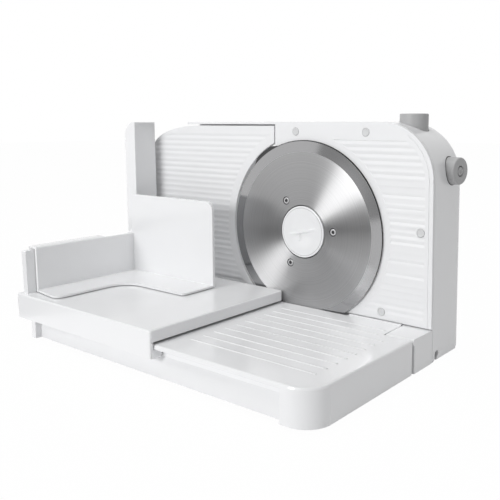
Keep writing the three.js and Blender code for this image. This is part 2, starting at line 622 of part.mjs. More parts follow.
function stopPlate() {
  const plate = alongY(stopOutline(0), STOP_FRONT, STOP_RIM_BACK, 18);
  const back = alongY(stopOutline(2.5), STOP_FRONT + PLATE_THICKNESS, STOP_RIM_BACK + 1, 12);
  const region = alongY(stopOutline(4, STOP_ARC_MARGIN, -1), STOP_FRONT - 2, STOP_FRONT + 2, 16);
  return cut(plate, back, flutes(STOP_LEFT - 2, SEAM_X, STOP_BOTTOM + 8, STOP_TOP - 6, STOP_FRONT, region));
}

function stopCarrier() {
  const front = STOP_RIM_BACK + GAP;
  const back = front + 2.5;
  let body = block(GUIDE_X - 25, GUIDE_X + 25, front, back, 40, 180);
  const foot = block(GUIDE_X - 20, GUIDE_X + 20, STOP_FRONT + PLATE_THICKNESS + GAP, front + 1, 60, 160);
  body = join(body, foot, rod('y', GUIDE_X, KNOB_Z, 8, front, 24, 14));
  body = cut(body, rod('y', GUIDE_X, KNOB_Z, THICKNESS_SPINDLE_RADIUS + GAP, 0, 30, 14));
  for (const z of GUIDE_ROD_HEIGHTS) {
    body = join(body, rod('y', GUIDE_X, z, 5.6, front, 24, 12));
    body = cut(body, rod('y', GUIDE_X, z, ROD_RADIUS + GAP, front - 1, 30, 12));
  }
  return body;
}

function thicknessKnob() {
  const y0 = ARM_BACK + 3.1;
  const body = turned('y', GUIDE_X, KNOB_Z, [[0, y0], [KNOB_RADIUS, y0], [KNOB_RADIUS, KNOB_BACK - 2],
    [KNOB_RADIUS - 2, KNOB_BACK], [0, KNOB_BACK]], 36);
  const grips = [];
  const count = 12;
  for (let i = 0; i < count; i += 1) {
    const angle = 2 * Math.PI * i / count;
    grips.push(rod('y', GUIDE_X + (KNOB_RADIUS + 1.2) * Math.cos(angle),
      KNOB_Z + (KNOB_RADIUS + 1.2) * Math.sin(angle), 2.6, y0 + 2.5, KNOB_BACK + 1, 8));
  }
  const mark = block(GUIDE_X - 0.8, GUIDE_X + 0.8, KNOB_BACK - 0.6, KNOB_BACK + 1, KNOB_Z + 6, KNOB_Z + 17);
  const bore = rod('y', GUIDE_X, KNOB_Z, THICKNESS_SPINDLE_RADIUS + GAP, y0 - 1, y0 + 6, 14);
  return cut(body, ...grips, mark, bore);
}

const thicknessSpindle = () => rod('y', GUIDE_X, KNOB_Z, THICKNESS_SPINDLE_RADIUS, 16.5, ARM_BACK + 8.5, 14);

function powerButton() {
  const stem = BUTTON_STEM_RADIUS;
  const flange = BUTTON_RADIUS + BUTTON_FLANGE;
  return turned('x', BUTTON_Y, BUTTON_Z, [[0, 118.5], [stem, 118.5], [stem, 119.5], [flange, 119.5],
    [flange, 122], [BUTTON_RADIUS, 122], [BUTTON_RADIUS, BUTTON_FACE - 1.2],
    [BUTTON_RADIUS - 1.2, BUTTON_FACE], [0, BUTTON_FACE]], 24);
}

function lockButton() {
  const top = LOCK_BUTTON_TOP;
  const radius = LOCK_BUTTON_RADIUS;
  const stem = BUTTON_STEM_RADIUS;
  const flange = radius + BUTTON_FLANGE;
  return turned('z', LOCK_BUTTON_X, LOCK_BUTTON_Y, [[0, 184.5], [stem, 184.5], [stem, 186], [flange, 186],
    [flange, 188.5], [radius, 188.5], [radius, top - 0.8], [radius - 0.8, top], [radius - 3, top],
    [0, top - 0.8]], 24);
}

function trayOutline() {
  const radius = TRAY_CORNER_RADIUS;
  const notch = BLOCK_FRONT - BLOCK_GAP;
  const shape = new THREE.Shape();
  shape.moveTo(TRAY_LEFT, notch);
  shape.lineTo(TRAY_LEFT, TRAY_FRONT + 4);
  shape.absarc(TRAY_LEFT + 4, TRAY_FRONT + 4, 4, Math.PI, 1.5 * Math.PI, false);
  shape.absarc(TRAY_RIGHT - radius, TRAY_FRONT + radius, radius, -Math.PI / 2, 0, false);
  shape.lineTo(TRAY_RIGHT, notch);
  shape.closePath();
  return shape;
}

function tray() {
  const notch = BLOCK_FRONT - BLOCK_GAP;
  const bevel = { depth: TRAY_TOP - 2 * TRAY_EDGE, bevelEnabled: true, bevelThickness: TRAY_EDGE,
    bevelSize: TRAY_EDGE, bevelOffset: -TRAY_EDGE, bevelSegments: 2, curveSegments: 8 };
  const box = solid(new THREE.ExtrudeGeometry(trayOutline(), bevel).translate(0, 0, TRAY_EDGE));
  let body = cut(box, block(-300, 300, -300, 100, -1, TRAY_BOTTOM));
  body = cut(body,
    block(RECESS_LEFT, RECESS_RIGHT, RECESS_BACK - 1, RECESS_BACK + TRAY_WALL + 1, 0,
      TRAY_BOTTOM + FRONT_WALL_LIFT),
    block(RECESS_LEFT, RECESS_RIGHT, TRAY_FRONT - 1, RECESS_BACK, 0, LIP_BOTTOM),
    block(TRAY_LEFT + TRAY_WALL, TRAY_RIGHT - TRAY_WALL, RECESS_BACK + TRAY_WALL, notch - TRAY_WALL, 0,
      TRAY_TOP - TRAY_WALL));
  for (const [x, y] of TRAY_FEET) {
    body = join(body, rod('z', x, y, FOOT_RADIUS + 2.5, TRAY_BOTTOM, TRAY_TOP - 1, 16));
  }
  const left = BLOCKS[0][1] + SLIT;
  const right = BLOCKS[1][0] - SLIT;
  const tongue = block(left, right, notch - 4, TONGUE_BACK, TRAY_TOP - TRAY_WALL, TRAY_TOP);
  body = join(body, tongue);
  for (const x of [left, right - KNUCKLE_LENGTH]) {
    const end = x + KNUCKLE_LENGTH;
    const knuckle = rod('x', HINGE_Y, HINGE_Z, HINGE_RADIUS, x, end, 16);
    const web = block(x, end, notch - 1, HINGE_Y, HINGE_Z - HINGE_RADIUS, HINGE_Z + HINGE_RADIUS);
    body = cut(join(body, knuckle, web), rod('x', HINGE_Y, HINGE_Z, PIN_RADIUS + GAP, x - 1, end + 1, 12));
  }
  for (let i = 0; i < RIB_COUNT; i += 1) {
    const y = RIB_FRONT + (RIB_BACK - RIB_FRONT) * i / (RIB_COUNT - 1);
    const rib = outline([y - RIB_WIDTH / 2, TRAY_TOP - 0.5], [y + RIB_WIDTH / 2, TRAY_TOP - 0.5],
      [y + RIB_WIDTH / 4, TRAY_TOP + RIB_HEIGHT], [y - RIB_WIDTH / 4, TRAY_TOP + RIB_HEIGHT]);
    body = join(body, alongX(rib, RIB_LEFT, y > notch - 5 ? right - 4 : RIB_RIGHT));
  }
  return body;
}

const foot = (x, y, height) => turned('z', x, y, [[0, 0], [FOOT_RADIUS - 0.8, 0], [FOOT_RADIUS, 0.8],
  [FOOT_RADIUS, height - GAP], [0, height - GAP]], 14);

// A C-shaped strip that hooks round the tray's front lip.
function carriageSkirt() {
  const under = CARRIAGE_UNDER - GAP;
  const inner = SKIRT_FRONT + SKIRT_THICKNESS;
  const hookTop = SKIRT_BOTTOM + HOOK_THICKNESS;
  const section = outline([SKIRT_FRONT, SKIRT_BOTTOM], [HOOK_BACK, SKIRT_BOTTOM], [HOOK_BACK, hookTop],
    [inner, hookTop], [inner, TRAY_TOP + GAP], [SKIRT_BACK, TRAY_TOP + GAP], [SKIRT_BACK, under],
    [SKIRT_FRONT, under]);
  const left = CARRIAGE_LEFT + TABLE_ROUND;
  const strip = alongX(section, left, CARRIAGE_RIGHT);
  const end = block(CARRIAGE_RIGHT - HOOK_END, CARRIAGE_RIGHT, inner - 0.5, HOOK_BACK, SKIRT_BOTTOM,
    LIP_BOTTOM - GAP);
  return cut(join(strip, end), block(left - 1, RECESS_LEFT + 2, inner, -100, SKIRT_BOTTOM - 1, hookTop + 1));
}

function roundedTable() {
  const radius = TABLE_ROUND;
  const shape = new THREE.Shape();
  shape.absarc(CARRIAGE_RIGHT - radius, CARRIAGE_FRONT + radius, radius, -Math.PI / 2, 0, false);
  shape.absarc(CARRIAGE_RIGHT - radius, CARRIAGE_BACK - radius, radius, 0, Math.PI / 2, false);
  shape.absarc(CARRIAGE_LEFT + radius, CARRIAGE_BACK - radius, radius, Math.PI / 2, Math.PI, false);
  shape.absarc(CARRIAGE_LEFT + radius, CARRIAGE_FRONT + radius, radius, Math.PI, 1.5 * Math.PI, false);
  shape.closePath();
  return shape;
}

function carriage() {
  const bevel = { depth: CARRIAGE_TOP - CARRIAGE_UNDER - 1.4, bevelEnabled: true, bevelThickness: 1.4,
    bevelSize: 1.4, bevelOffset: -1.4, bevelSegments: 2, curveSegments: 3 };
  const slab = solid(new THREE.ExtrudeGeometry(roundedTable(), bevel).translate(0, 0, CARRIAGE_UNDER));
  const apron = alongZ(roundedTable(), SKIRT_BOTTOM, CARRIAGE_UNDER + 1, 3).intersect(
    block(-300, 100, -300, CARRIAGE_FRONT + APRON_THICKNESS, 0, CARRIAGE_TOP));
  const table = join(cut(slab, block(-300, 100, -300, 100, 0, CARRIAGE_UNDER)), apron);
  const room = block(CARRIAGE_LEFT + WALL, CARRIAGE_RIGHT - WALL, CARRIAGE_FRONT + WALL, CARRIAGE_BACK - WALL,
    0, CARRIAGE_TOP - TABLE_THICKNESS);
  const wallTop = END_WALL_TOP;
  const wall = new THREE.Shape();
  wall.moveTo(END_WALL_FRONT, CARRIAGE_TOP - 1);
  wall.lineTo(GUARD_FRONT + 1, CARRIAGE_TOP - 1);
  wall.lineTo(GUARD_FRONT + 1, wallTop + GUARD_FILLET);
  wall.lineTo(GUARD_FRONT, wallTop + GUARD_FILLET);
  wall.absarc(GUARD_FRONT - GUARD_FILLET, wallTop + GUARD_FILLET, GUARD_FILLET, 0, -Math.PI / 2, true);
  wall.absarc(END_WALL_FRONT + END_WALL_ROUND, wallTop - END_WALL_ROUND, END_WALL_ROUND, Math.PI / 2, Math.PI,
    false);
  wall.closePath();
  const endWall = alongX(wall, END_WALL_OUTER, END_WALL_INNER, 6);
  const guardShape = new THREE.Shape();
  guardShape.moveTo(GUARD_OUTER, CARRIAGE_UNDER);
  guardShape.lineTo(END_WALL_INNER, CARRIAGE_UNDER);
  guardShape.lineTo(END_WALL_INNER, GUARD_TOP);
  guardShape.absarc(GUARD_OUTER + GUARD_ROUND, GUARD_TOP - GUARD_ROUND, GUARD_ROUND, Math.PI / 2, Math.PI,
    false);
  guardShape.closePath();
  const guard = alongY(guardShape, GUARD_FRONT, CARRIAGE_BACK, 8);
  const roomRight = END_WALL_INNER - WALL;
  const roomRound = roomRight - GUARD_OUTER - WALL;
  const inner = new THREE.Shape();
  inner.moveTo(GUARD_OUTER + WALL, CARRIAGE_TOP + 4);
  inner.lineTo(roomRight, CARRIAGE_TOP + 4);
  inner.absarc(roomRight, GUARD_TOP - WALL - roomRound, roomRound, Math.PI / 2, Math.PI, false);
  inner.closePath();
  const guardRoom = alongY(inner, GUARD_FRONT + WALL, CARRIAGE_BACK + 1, 6);
  return cut(join(table, endWall, guard), room, guardRoom);
}

// L-shaped floor of the pusher in (x, y), with a rounded inner corner.
function pusherFloor() {
  const left = PUSHER_LEFT;
  const wide = left + FLANGE_WIDTH;
  const back = PUSHER_FACE + PUSHER_THICKNESS;
  const deep = PUSHER_FACE - FLANGE_WIDTH;
  const round = FLANGE_INNER_RADIUS;
  const shape = new THREE.Shape();
  shape.moveTo(left, back);
  shape.lineTo(left, PUSHER_FRONT);
  shape.lineTo(wide - 10, PUSHER_FRONT - 4);
  shape.quadraticCurveTo(wide, PUSHER_FRONT - 4, wide, PUSHER_FRONT + 6);
  shape.lineTo(wide, deep - round);
  shape.absarc(wide + round, deep - round, round, Math.PI, Math.PI / 2, true);
  shape.lineTo(PUSHER_RIGHT - 5, deep);
  shape.quadraticCurveTo(PUSHER_RIGHT, deep, PUSHER_RIGHT, deep + 5);
  shape.lineTo(PUSHER_RIGHT, back);
  shape.closePath();
  return shape;
}

function foodPusher() {
  const floorBottom = CARRIAGE_TOP + GAP;
  const floor = alongZ(pusherFloor(), floorBottom, floorBottom + FLANGE_THICKNESS, 8);
  const face = new THREE.Shape();
  face.moveTo(PUSHER_LEFT, floorBottom);
  face.lineTo(PUSHER_RIGHT, floorBottom);
  face.lineTo(PUSHER_RIGHT, PUSHER_TOP - PUSHER_ROUND);
  face.absarc(PUSHER_RIGHT - PUSHER_ROUND, PUSHER_TOP - PUSHER_ROUND, PUSHER_ROUND, 0, Math.PI / 2, false);
  face.absarc(PUSHER_LEFT + 3, PUSHER_TOP - 3, 3, Math.PI / 2, Math.PI, false);
  face.closePath();
  const back = PUSHER_FACE + PUSHER_THICKNESS;
  const wall = alongY(face, PUSHER_FACE, back, 8);
  const inner = PUSHER_LEFT + PUSHER_THICKNESS;
  const side = block(PUSHER_LEFT, inner, PUSHER_FRONT, back, floorBottom, PUSHER_WALL_TOP);
  const hookOuter = END_WALL_OUTER - 0.6;
  const hookTop = PUSHER_WALL_TOP + 1;
  const hookUnder = PUSHER_WALL_TOP - 1.5;
  const hook = alongY(outline([PUSHER_LEFT, PUSHER_WALL_TOP], [inner, PUSHER_WALL_TOP - 3],
    [inner, PUSHER_WALL_TOP], [inner - 1.5, hookTop], [hookOuter - 2, hookTop],
    [hookOuter - 2, END_WALL_TOP - 6], [hookOuter, END_WALL_TOP - 6], [hookOuter, hookUnder],
    [PUSHER_LEFT, hookUnder]), PUSHER_FRONT, HOOK_RUN_BACK);
  const ribs = [0, 1, 2, 3, 4, 5].map((i) => {
    const x = PUSHER_LEFT + 14 + i * 18;
    return alongZ(outline([x - 1.5, back - 0.5], [x + 1.5, back - 0.5], [x, back + 2]), 60, 116);
  });
  return join(floor, wall, side, hook, ...ribs);
}

piece('motor_housing', motorHousing(), white);
piece('back_cover', backCover(), white);
piece('arm_cover', armCover(), white);
coverScrewPlaces().forEach(([x, z], i) => {
  const under = COVER_BACK - 4;
  const screw = turned('y', x, z, [[0, 30], [1.5, 30], [1.5, under], [3.5, under],
    [3.5, COVER_BACK - 1.8], [0, COVER_BACK - 1.8]], 10);
  piece(`cover_screw_${i + 1}`, screw, steel);
});
piece('front_plate', frontPlate(), white);
PLUG_PLACES.forEach(([x, z], i) => {
  const plug = turned('y', x, z, [[0, -0.4], [PLUG_RADIUS - 0.5, -0.4], [PLUG_RADIUS, 0], [PLUG_RADIUS, 2.9],
    [1.3, 2.9], [1.3, 5], [0, 5]], 12);
  piece(`plate_plug_${i + 1}`, plug, paleGrey);
});
piece('blade', blade(), bladeSteel);
bladeScrewPlaces().forEach(([x, z], i) => piece(`blade_screw_${i + 1}`, bladeScrew(x, z), steel));
piece('blade_carrier', bladeCarrier(), dark);
piece('blade_lock', bladeLock(), white);
piece('spindle', spindle(), steel);
piece('bearing_front', bearing(7.5, 13.5), brass);
piece('bearing_rear', bearing(34, 40.5), brass);
piece('worm_wheel', wormWheel(), gearPlastic);
piece('motor_worm', motorWorm(), steel);
piece('motor', motor(), steel);
piece('motor_armature', motorArmature(), steel);
piece('motor_end_cap', motorEndCap(), dark);
piece('motor_clamp', motorClamp(), dark);
piece('worm_bush', wormBush(), dark);
piece('power_switch', block(...POWER_SWITCH), dark);
piece('safety_switch', block(...SAFETY_SWITCH), dark);
piece('power_button', powerButton(), grey);
piece('lock_button', lockButton(), grey);
piece('stop_plate', stopPlate(), white);
piece('stop_carrier', stopCarrier(), dark);
GUIDE_ROD_HEIGHTS.forEach((z, i) => {
  piece(`guide_rod_${i + 1}`, rod('y', GUIDE_X, z, ROD_RADIUS, 16.5, ARM_BACK + 1, 12), steel);
});
piece('thickness_knob', thicknessKnob(), grey);
piece('thickness_spindle', thicknessSpindle(), steel);
piece('tray', tray(), white);
const hingePin = (x0, x1) => rod('x', HINGE_Y, HINGE_Z, PIN_RADIUS, x0, x1, 12);
piece('hinge_pin_left', hingePin(BLOCKS[0][0] + PIN_INSET, BLOCKS[0][1] + KNUCKLE_LENGTH), steel);
piece('hinge_pin_right', hingePin(BLOCKS[1][0] - KNUCKLE_LENGTH, BLOCKS[1][1] - PIN_INSET), steel);
BLOCK_FEET.forEach(([x, y], i) => piece(`housing_foot_${i + 1}`, foot(x, y, TRAY_BOTTOM), rubber));
SHELL_FEET.forEach(([x, y], i) => {
  piece(`housing_foot_${BLOCK_FEET.length + i + 1}`, foot(x, y, HOUSE_BOTTOM), rubber);
});
TRAY_FEET.forEach(([x, y], i) => piece(`tray_foot_${i + 1}`, foot(x, y, TRAY_BOTTOM), rubber));
piece('carriage_skirt', carriageSkirt(), white);
piece('carriage', carriage(), white);
piece('food_pusher', foodPusher(), white);

const slicer = new THREE.Group();
slicer.add(...pieces);
slicer.position.set(-ORIGIN_X, -ORIGIN_Y, 0);

export default slicer;
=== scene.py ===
# %% [markdown]
# # A household meat slicer, dressed for a studio picture
# The slicer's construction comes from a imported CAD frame: every node is at its real size and place, in
# metres, with +Z up. This lesson keeps those places and gives each visible piece its moulded edges and
# its finish.

# %% Load the frame
import json
import math

import bmesh
import bpy
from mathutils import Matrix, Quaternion, Vector


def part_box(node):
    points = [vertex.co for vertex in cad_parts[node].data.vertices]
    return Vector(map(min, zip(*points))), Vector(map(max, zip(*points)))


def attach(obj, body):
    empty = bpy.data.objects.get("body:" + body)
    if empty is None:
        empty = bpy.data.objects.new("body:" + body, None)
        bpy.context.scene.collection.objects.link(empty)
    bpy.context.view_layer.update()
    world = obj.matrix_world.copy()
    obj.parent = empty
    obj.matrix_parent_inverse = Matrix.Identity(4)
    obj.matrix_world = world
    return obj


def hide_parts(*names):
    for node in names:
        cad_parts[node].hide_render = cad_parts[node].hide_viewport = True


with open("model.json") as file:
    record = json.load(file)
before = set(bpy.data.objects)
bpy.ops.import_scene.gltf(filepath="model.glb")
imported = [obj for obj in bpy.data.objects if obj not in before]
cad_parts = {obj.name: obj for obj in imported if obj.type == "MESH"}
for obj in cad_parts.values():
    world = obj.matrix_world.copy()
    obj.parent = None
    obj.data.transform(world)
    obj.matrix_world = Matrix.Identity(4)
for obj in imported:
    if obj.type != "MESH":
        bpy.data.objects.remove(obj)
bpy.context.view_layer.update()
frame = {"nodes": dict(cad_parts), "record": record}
MM = 0.001
print("frame nodes:", len(frame["nodes"]))

# %% [markdown]
# ## Camera
# The picture was taken from the right, a little above the worktop. The lens and the place of the camera
# were found by fitting the blade's ellipse and the tray's corners, so here they are plain values. The
# lens is shifted a little, because the slicer doesn't stand in the middle of the picture.

# %% Camera
CAMERA_PLACE = Vector((0.4157, -0.4474, 0.2063))
CAMERA_YAW = math.radians(38.4)
CAMERA_PITCH = math.radians(-8.7)
CAMERA_LENS = 48.47
SENSOR_WIDTH = 36
CLIP_START = 0.01
CAMERA_SHIFT = (-0.07, -0.05)

scene = bpy.context.scene
scene.view_settings.view_transform = "Standard"


def make_camera():
    camera = bpy.data.objects.new("camera", bpy.data.cameras.new("camera"))
    camera.data.sensor_width = SENSOR_WIDTH
    camera.data.lens = CAMERA_LENS
    camera.data.shift_x, camera.data.shift_y = CAMERA_SHIFT
    camera.data.clip_start = CLIP_START
    ahead = Vector((
        -math.sin(CAMERA_YAW) * math.cos(CAMERA_PITCH),
        math.cos(CAMERA_YAW) * math.cos(CAMERA_PITCH),
        math.sin(CAMERA_PITCH),
    ))
    camera.location = CAMERA_PLACE
    camera.rotation_mode = "QUATERNION"
    camera.rotation_quaternion = ahead.to_track_quat("-Z", "Y")
    scene.collection.objects.link(camera)
    scene.camera = camera


make_camera()
print("camera lens:", CAMERA_LENS, "mm")

# %% [markdown]
# ## World
# White plastic on a white ground needs light that models the form, so the surround lights the slicer
# only a little. It still has to look white, to the camera and in the polished steel. The Light Path node
# tells the two apart: one strength for rays that see the surround, and a lower one for rays that only
# carry its light.

# %% World
WORLD_LIGHT = 0.335
WORLD_SEEN = 1


def feed(tree, socket, value):
    """Sets a socket to a plain number or word, or links another node's output to it."""
    if isinstance(value, (int, float, str)):
        socket.default_value = value
    else:
        tree.links.new(value, socket)


def maths(tree, operation, *values):
    """The output of a Math node that gets these numbers or outputs."""
    node = tree.nodes.new("ShaderNodeMath")
    node.operation = operation
    for socket, value in zip(node.inputs, values):
        feed(tree, socket, value)
    return node.outputs[0]


def seen_directly(tree):
    """A 0 or 1 value: does the ray come from the camera, a mirror-like surface or glass?"""
    ray = tree.nodes.new("ShaderNodeLightPath").outputs
    either = maths(tree, "MAXIMUM", ray["Is Camera Ray"], ray["Is Glossy Ray"])
    return maths(tree, "MAXIMUM", either, ray["Is Transmission Ray"])


def make_world():
    world = bpy.data.worlds.new("surround")
    world.use_nodes = True
    tree = world.node_tree
    background = tree.nodes["Background"]
    background.inputs["Color"].default_value = (1, 1, 1, 1)
    strength = tree.nodes.new("ShaderNodeMapRange")
    strength.inputs["To Min"].default_value = WORLD_LIGHT
    strength.inputs["To Max"].default_value = WORLD_SEEN
    tree.links.new(seen_directly(tree), strength.inputs["Value"])
    tree.links.new(strength.outputs["Result"], background.inputs["Strength"])
    scene.world = world


make_world()
print("surround strength:", WORLD_LIGHT, "as light and", WORLD_SEEN, "as seen")

# %% [markdown]
# ## Floor
# The ground is one large matt plane. It could be a plain white material, but then it would need far more
# light than the slicer can take. So it glows where the camera or a mirror sees it, and the small share
# that is left of its paint keeps the soft shadow under the slicer.

# %% Floor
FLOOR_COLOUR = (0.9, 0.9, 0.905, 1)
FLOOR_ROUGHNESS = 0.9
FLOOR_SIZE = 12
FLOOR_GLOW = 0.985


def as_object(name, bm):
    """Turns a finished bmesh into an object of the scene."""
    mesh = bpy.data.meshes.new(name)
    bm.to_mesh(mesh)
    bm.free()
    piece = bpy.data.objects.new(name, mesh)
    scene.collection.objects.link(piece)
    return piece


def new_material(name):
    material = bpy.data.materials.new(name)
    material.use_nodes = True
    return material, material.node_tree


def make_floor():
    bm = bmesh.new()
    bmesh.ops.create_grid(bm, x_segments=1, y_segments=1, size=FLOOR_SIZE / 2)
    floor = as_object("floor", bm)
    material, tree = new_material("floor")
    paint = tree.nodes["Principled BSDF"]
    paint.inputs["Base Color"].default_value = FLOOR_COLOUR
    paint.inputs["Roughness"].default_value = FLOOR_ROUGHNESS
    glow = tree.nodes.new("ShaderNodeEmission")
    mix = tree.nodes.new("ShaderNodeMixShader")
    tree.links.new(maths(tree, "MULTIPLY", seen_directly(tree), FLOOR_GLOW), mix.inputs["Fac"])
    tree.links.new(paint.outputs["BSDF"], mix.inputs[1])
    tree.links.new(glow.outputs["Emission"], mix.inputs[2])
    tree.links.new(mix.outputs["Shader"], tree.nodes["Material Output"].inputs["Surface"])
    floor.data.materials.append(material)


make_floor()
print("floor:", FLOOR_SIZE, "m wide")

# %% [markdown]
# ## Lamps
# Two round area lamps model the form. One stands in front and to the left, so that the walls that face
# right fall into a soft shade. The other hangs overhead and lights the tray, the carriage and the tops
# of the walls.

# %% Lamps
LAMP_AIM = Vector((0, 0, 0.1))


def make_lamp(name, place, size, power):
    lamp = bpy.data.objects.new(name, bpy.data.lights.new(name, "AREA"))
    lamp.data.shape = "DISK"
    lamp.data.size = size
    lamp.data.energy = power
    lamp.location = place
    lamp.rotation_mode = "QUATERNION"
    lamp.rotation_quaternion = (LAMP_AIM - Vector(place)).to_track_quat("-Z", "Y")
    scene.collection.objects.link(lamp)
    print(name, "watts:", power)


make_lamp("front_lamp", (-0.31, -1.64, 0.5), size=0.6, power=11.7)
make_lamp("top_lamp", (0.0, -0.25, 1.7), size=1.0, power=10.4)

# %% [markdown]
# ## Dark cards
# Polished steel shows what stands round it, so in a plain white surround the blade would look flat. A
# studio has dark cards just out of the picture. Here three of them are visible to mirror rays alone: two
# near the worktop make the blade's dark sectors, and a grey one far in front shades its bevel.

# %% Cards
CARD_AIM = Vector((0.04, 0.06, 0.1))
CARD_ROLL = math.radians(-5)


def make_card(name, place, width, height, tone, roll=0.0):
    """A card that only mirror-like surfaces see, with the strength of its own light as its tone."""
    bm = bmesh.new()
    bmesh.ops.create_grid(bm, x_segments=1, y_segments=1, size=0.5)
    bmesh.ops.scale(bm, vec=(width, height, 1), verts=bm.verts)
    card = as_object(name, bm)
    card.location = place
    card.rotation_mode = "QUATERNION"
    turn = (CARD_AIM - Vector(place)).to_track_quat("Z", "Y")
    card.rotation_quaternion = turn @ Quaternion((0, 0, 1), roll)
    card.visible_camera = False
    card.visible_diffuse = False
    card.visible_shadow = False
    card.visible_transmission = False
    material, tree = new_material(name)
    glow = tree.nodes.new("ShaderNodeEmission")
    glow.inputs["Strength"].default_value = tone
    tree.links.new(glow.outputs["Emission"], tree.nodes["Material Output"].inputs["Surface"])
    card.data.materials.append(material)
    print(name, "size:", width, "x", height)


make_card("low_flag", (-0.226, -0.178, 0.044), width=0.46, height=0.085, tone=0.03, roll=CARD_ROLL)
make_card("side_flag", (0.11, -0.43, 0.078), width=0.26, height=0.085, tone=0.03, roll=CARD_ROLL)
make_card("front_flag", (-0.33, -0.85, 0.19), width=0.34, height=0.34, tone=0.45)

# %% [markdown]
# ## Moulded surface
# Moulded plastic is never perfectly even: it has a faint orange peel, and its gloss and tone change
# slightly from place to place. Each material could carry its own noise nodes, but several plastics need
# the same effect, so it is one node group with named inputs. Object coordinates keep the pattern on the
# piece.

# %% Group for moulded plastic
CLOUD_SCALE = 14
CLOUD_DETAIL = 3
CLOUD_RANGE = (0.3, 0.7)
GRAIN_DETAIL = 2
GRAIN_DISTANCE = 0.0004
SURFACE = {"Colour": "NodeSocketColor", "Roughness": "NodeSocketFloat", "Normal": "NodeSocketVector"}


def new_group(name, inputs):
    """An empty shader group with these inputs, and the outputs that every surface needs."""
    group = bpy.data.node_groups.new(name, "ShaderNodeTree")
    for label, kind, value in inputs:
        socket = group.interface.new_socket(label, in_out="INPUT", socket_type=kind)
        socket.default_value = value
    for label, kind in SURFACE.items():
        group.interface.new_socket(label, in_out="OUTPUT", socket_type=kind)
    source = group.nodes.new("NodeGroupInput").outputs
    target = group.nodes.new("NodeGroupOutput").inputs
    return group, source, target


def varied(group, source, target, noise):
    """Makes the group's colour lighter and darker with a noise, and returns the factor."""
    centred = maths(group, "SUBTRACT", noise, 0.5)
    factor = maths(group, "MULTIPLY_ADD", centred, source["Tone"], 1)
    tint = group.nodes.new("ShaderNodeVectorMath")
    tint.operation = "SCALE"
    group.links.new(source["Colour"], tint.inputs[0])
    group.links.new(factor, tint.inputs["Scale"])
    group.links.new(tint.outputs[0], target["Colour"])
    return factor


def embossed(group, target, noise, strength, distance):
    """Turns a noise into the group's normal."""
    bump = group.nodes.new("ShaderNodeBump")
    bump.inputs["Distance"].default_value = distance
    group.links.new(strength, bump.inputs["Strength"])
    group.links.new(noise, bump.inputs["Height"])
    group.links.new(bump.outputs["Normal"], target["Normal"])


def moulded_group():
    group, source, target = new_group("moulded_surface", [
        ("Colour", "NodeSocketColor", (0.9, 0.9, 0.9, 1)),
        ("Tone", "NodeSocketFloat", 0.02),
        ("Gloss Low", "NodeSocketFloat", 0.2),
        ("Gloss High", "NodeSocketFloat", 0.3),
        ("Grain Scale", "NodeSocketFloat", 900),
        ("Grain Height", "NodeSocketFloat", 0.02),
    ])
    links = group.links
    place = group.nodes.new("ShaderNodeTexCoord").outputs["Object"]
    cloud = group.nodes.new("ShaderNodeTexNoise")
    cloud.inputs["Scale"].default_value = CLOUD_SCALE
    cloud.inputs["Detail"].default_value = CLOUD_DETAIL
    links.new(place, cloud.inputs["Vector"])
    gloss = group.nodes.new("ShaderNodeMapRange")
    gloss.inputs["From Min"].default_value = CLOUD_RANGE[0]
    gloss.inputs["From Max"].default_value = CLOUD_RANGE[1]
    links.new(cloud.outputs["Fac"], gloss.inputs["Value"])
    links.new(source["Gloss Low"], gloss.inputs["To Min"])
    links.new(source["Gloss High"], gloss.inputs["To Max"])
    links.new(gloss.outputs["Result"], target["Roughness"])
    varied(group, source, target, cloud.outputs["Fac"])
    grain = group.nodes.new("ShaderNodeTexNoise")
    grain.inputs["Detail"].default_value = GRAIN_DETAIL
    links.new(place, grain.inputs["Vector"])
    links.new(source["Grain Scale"], grain.inputs["Scale"])
    embossed(group, target, grain.outputs["Fac"], source["Grain Height"], GRAIN_DISTANCE)
    return group


MOULDED = moulded_group()
print("moulded surface nodes:", len(MOULDED.nodes))

# %% [markdown]
# ## Polished rings
# A lathe or a polishing wheel leaves fine rings about an axis. The metals share a second group for them:
# a noise that depends on the distance from the axis alone, which changes the tone, the roughness and the
# height.

# %% Group for polished metal
RING_DISTANCE = 0.0001
RING_DETAIL = 4
RING_CONTRAST = 0.7


def rings_group():
    group, source, target = new_group("polished_rings", [
        ("Place", "NodeSocketVector", (0, 0, 0)),
        ("Colour", "NodeSocketColor", (0.6, 0.6, 0.6, 1)),
        ("Tone", "NodeSocketFloat", 0.1),
        ("Roughness", "NodeSocketFloat", 0.3),
        ("Ring Scale", "NodeSocketFloat", 4000),
        ("Height", "NodeSocketFloat", 0.05),
    ])
    links = group.links
    flat = group.nodes.new("ShaderNodeVectorMath")
    flat.operation = "MULTIPLY"
    flat.inputs[1].default_value = (1, 0, 1)
    radius = group.nodes.new("ShaderNodeVectorMath")
    radius.operation = "LENGTH"
    links.new(source["Place"], flat.inputs[0])
    links.new(flat.outputs[0], radius.inputs[0])
    rings = group.nodes.new("ShaderNodeTexNoise")
    rings.noise_dimensions = "1D"
    rings.inputs["Detail"].default_value = RING_DETAIL
    rings.inputs["Roughness"].default_value = RING_CONTRAST
    links.new(radius.outputs["Value"], rings.inputs["W"])
    links.new(source["Ring Scale"], rings.inputs["Scale"])
    share = varied(group, source, target, rings.outputs["Fac"])
    links.new(maths(group, "MULTIPLY", source["Roughness"], share), target["Roughness"])
    embossed(group, target, rings.outputs["Fac"], source["Height"], RING_DISTANCE)
    return group


RINGS = rings_group()
print("polished rings nodes:", len(RINGS.nodes))

# %% [markdown]
# ## Plastics
# The slicer is nearly all plastic: glossy white for the body, satin white for the two fluted plates, and
# a few greys. Each finish is one short call, which feeds a Principled shader from the shared group with
# its own values. The glossy white also has a thin clear coat, as a polished mould leaves it.

# %% Plastics
COAT_ROUGHNESS = 0.08


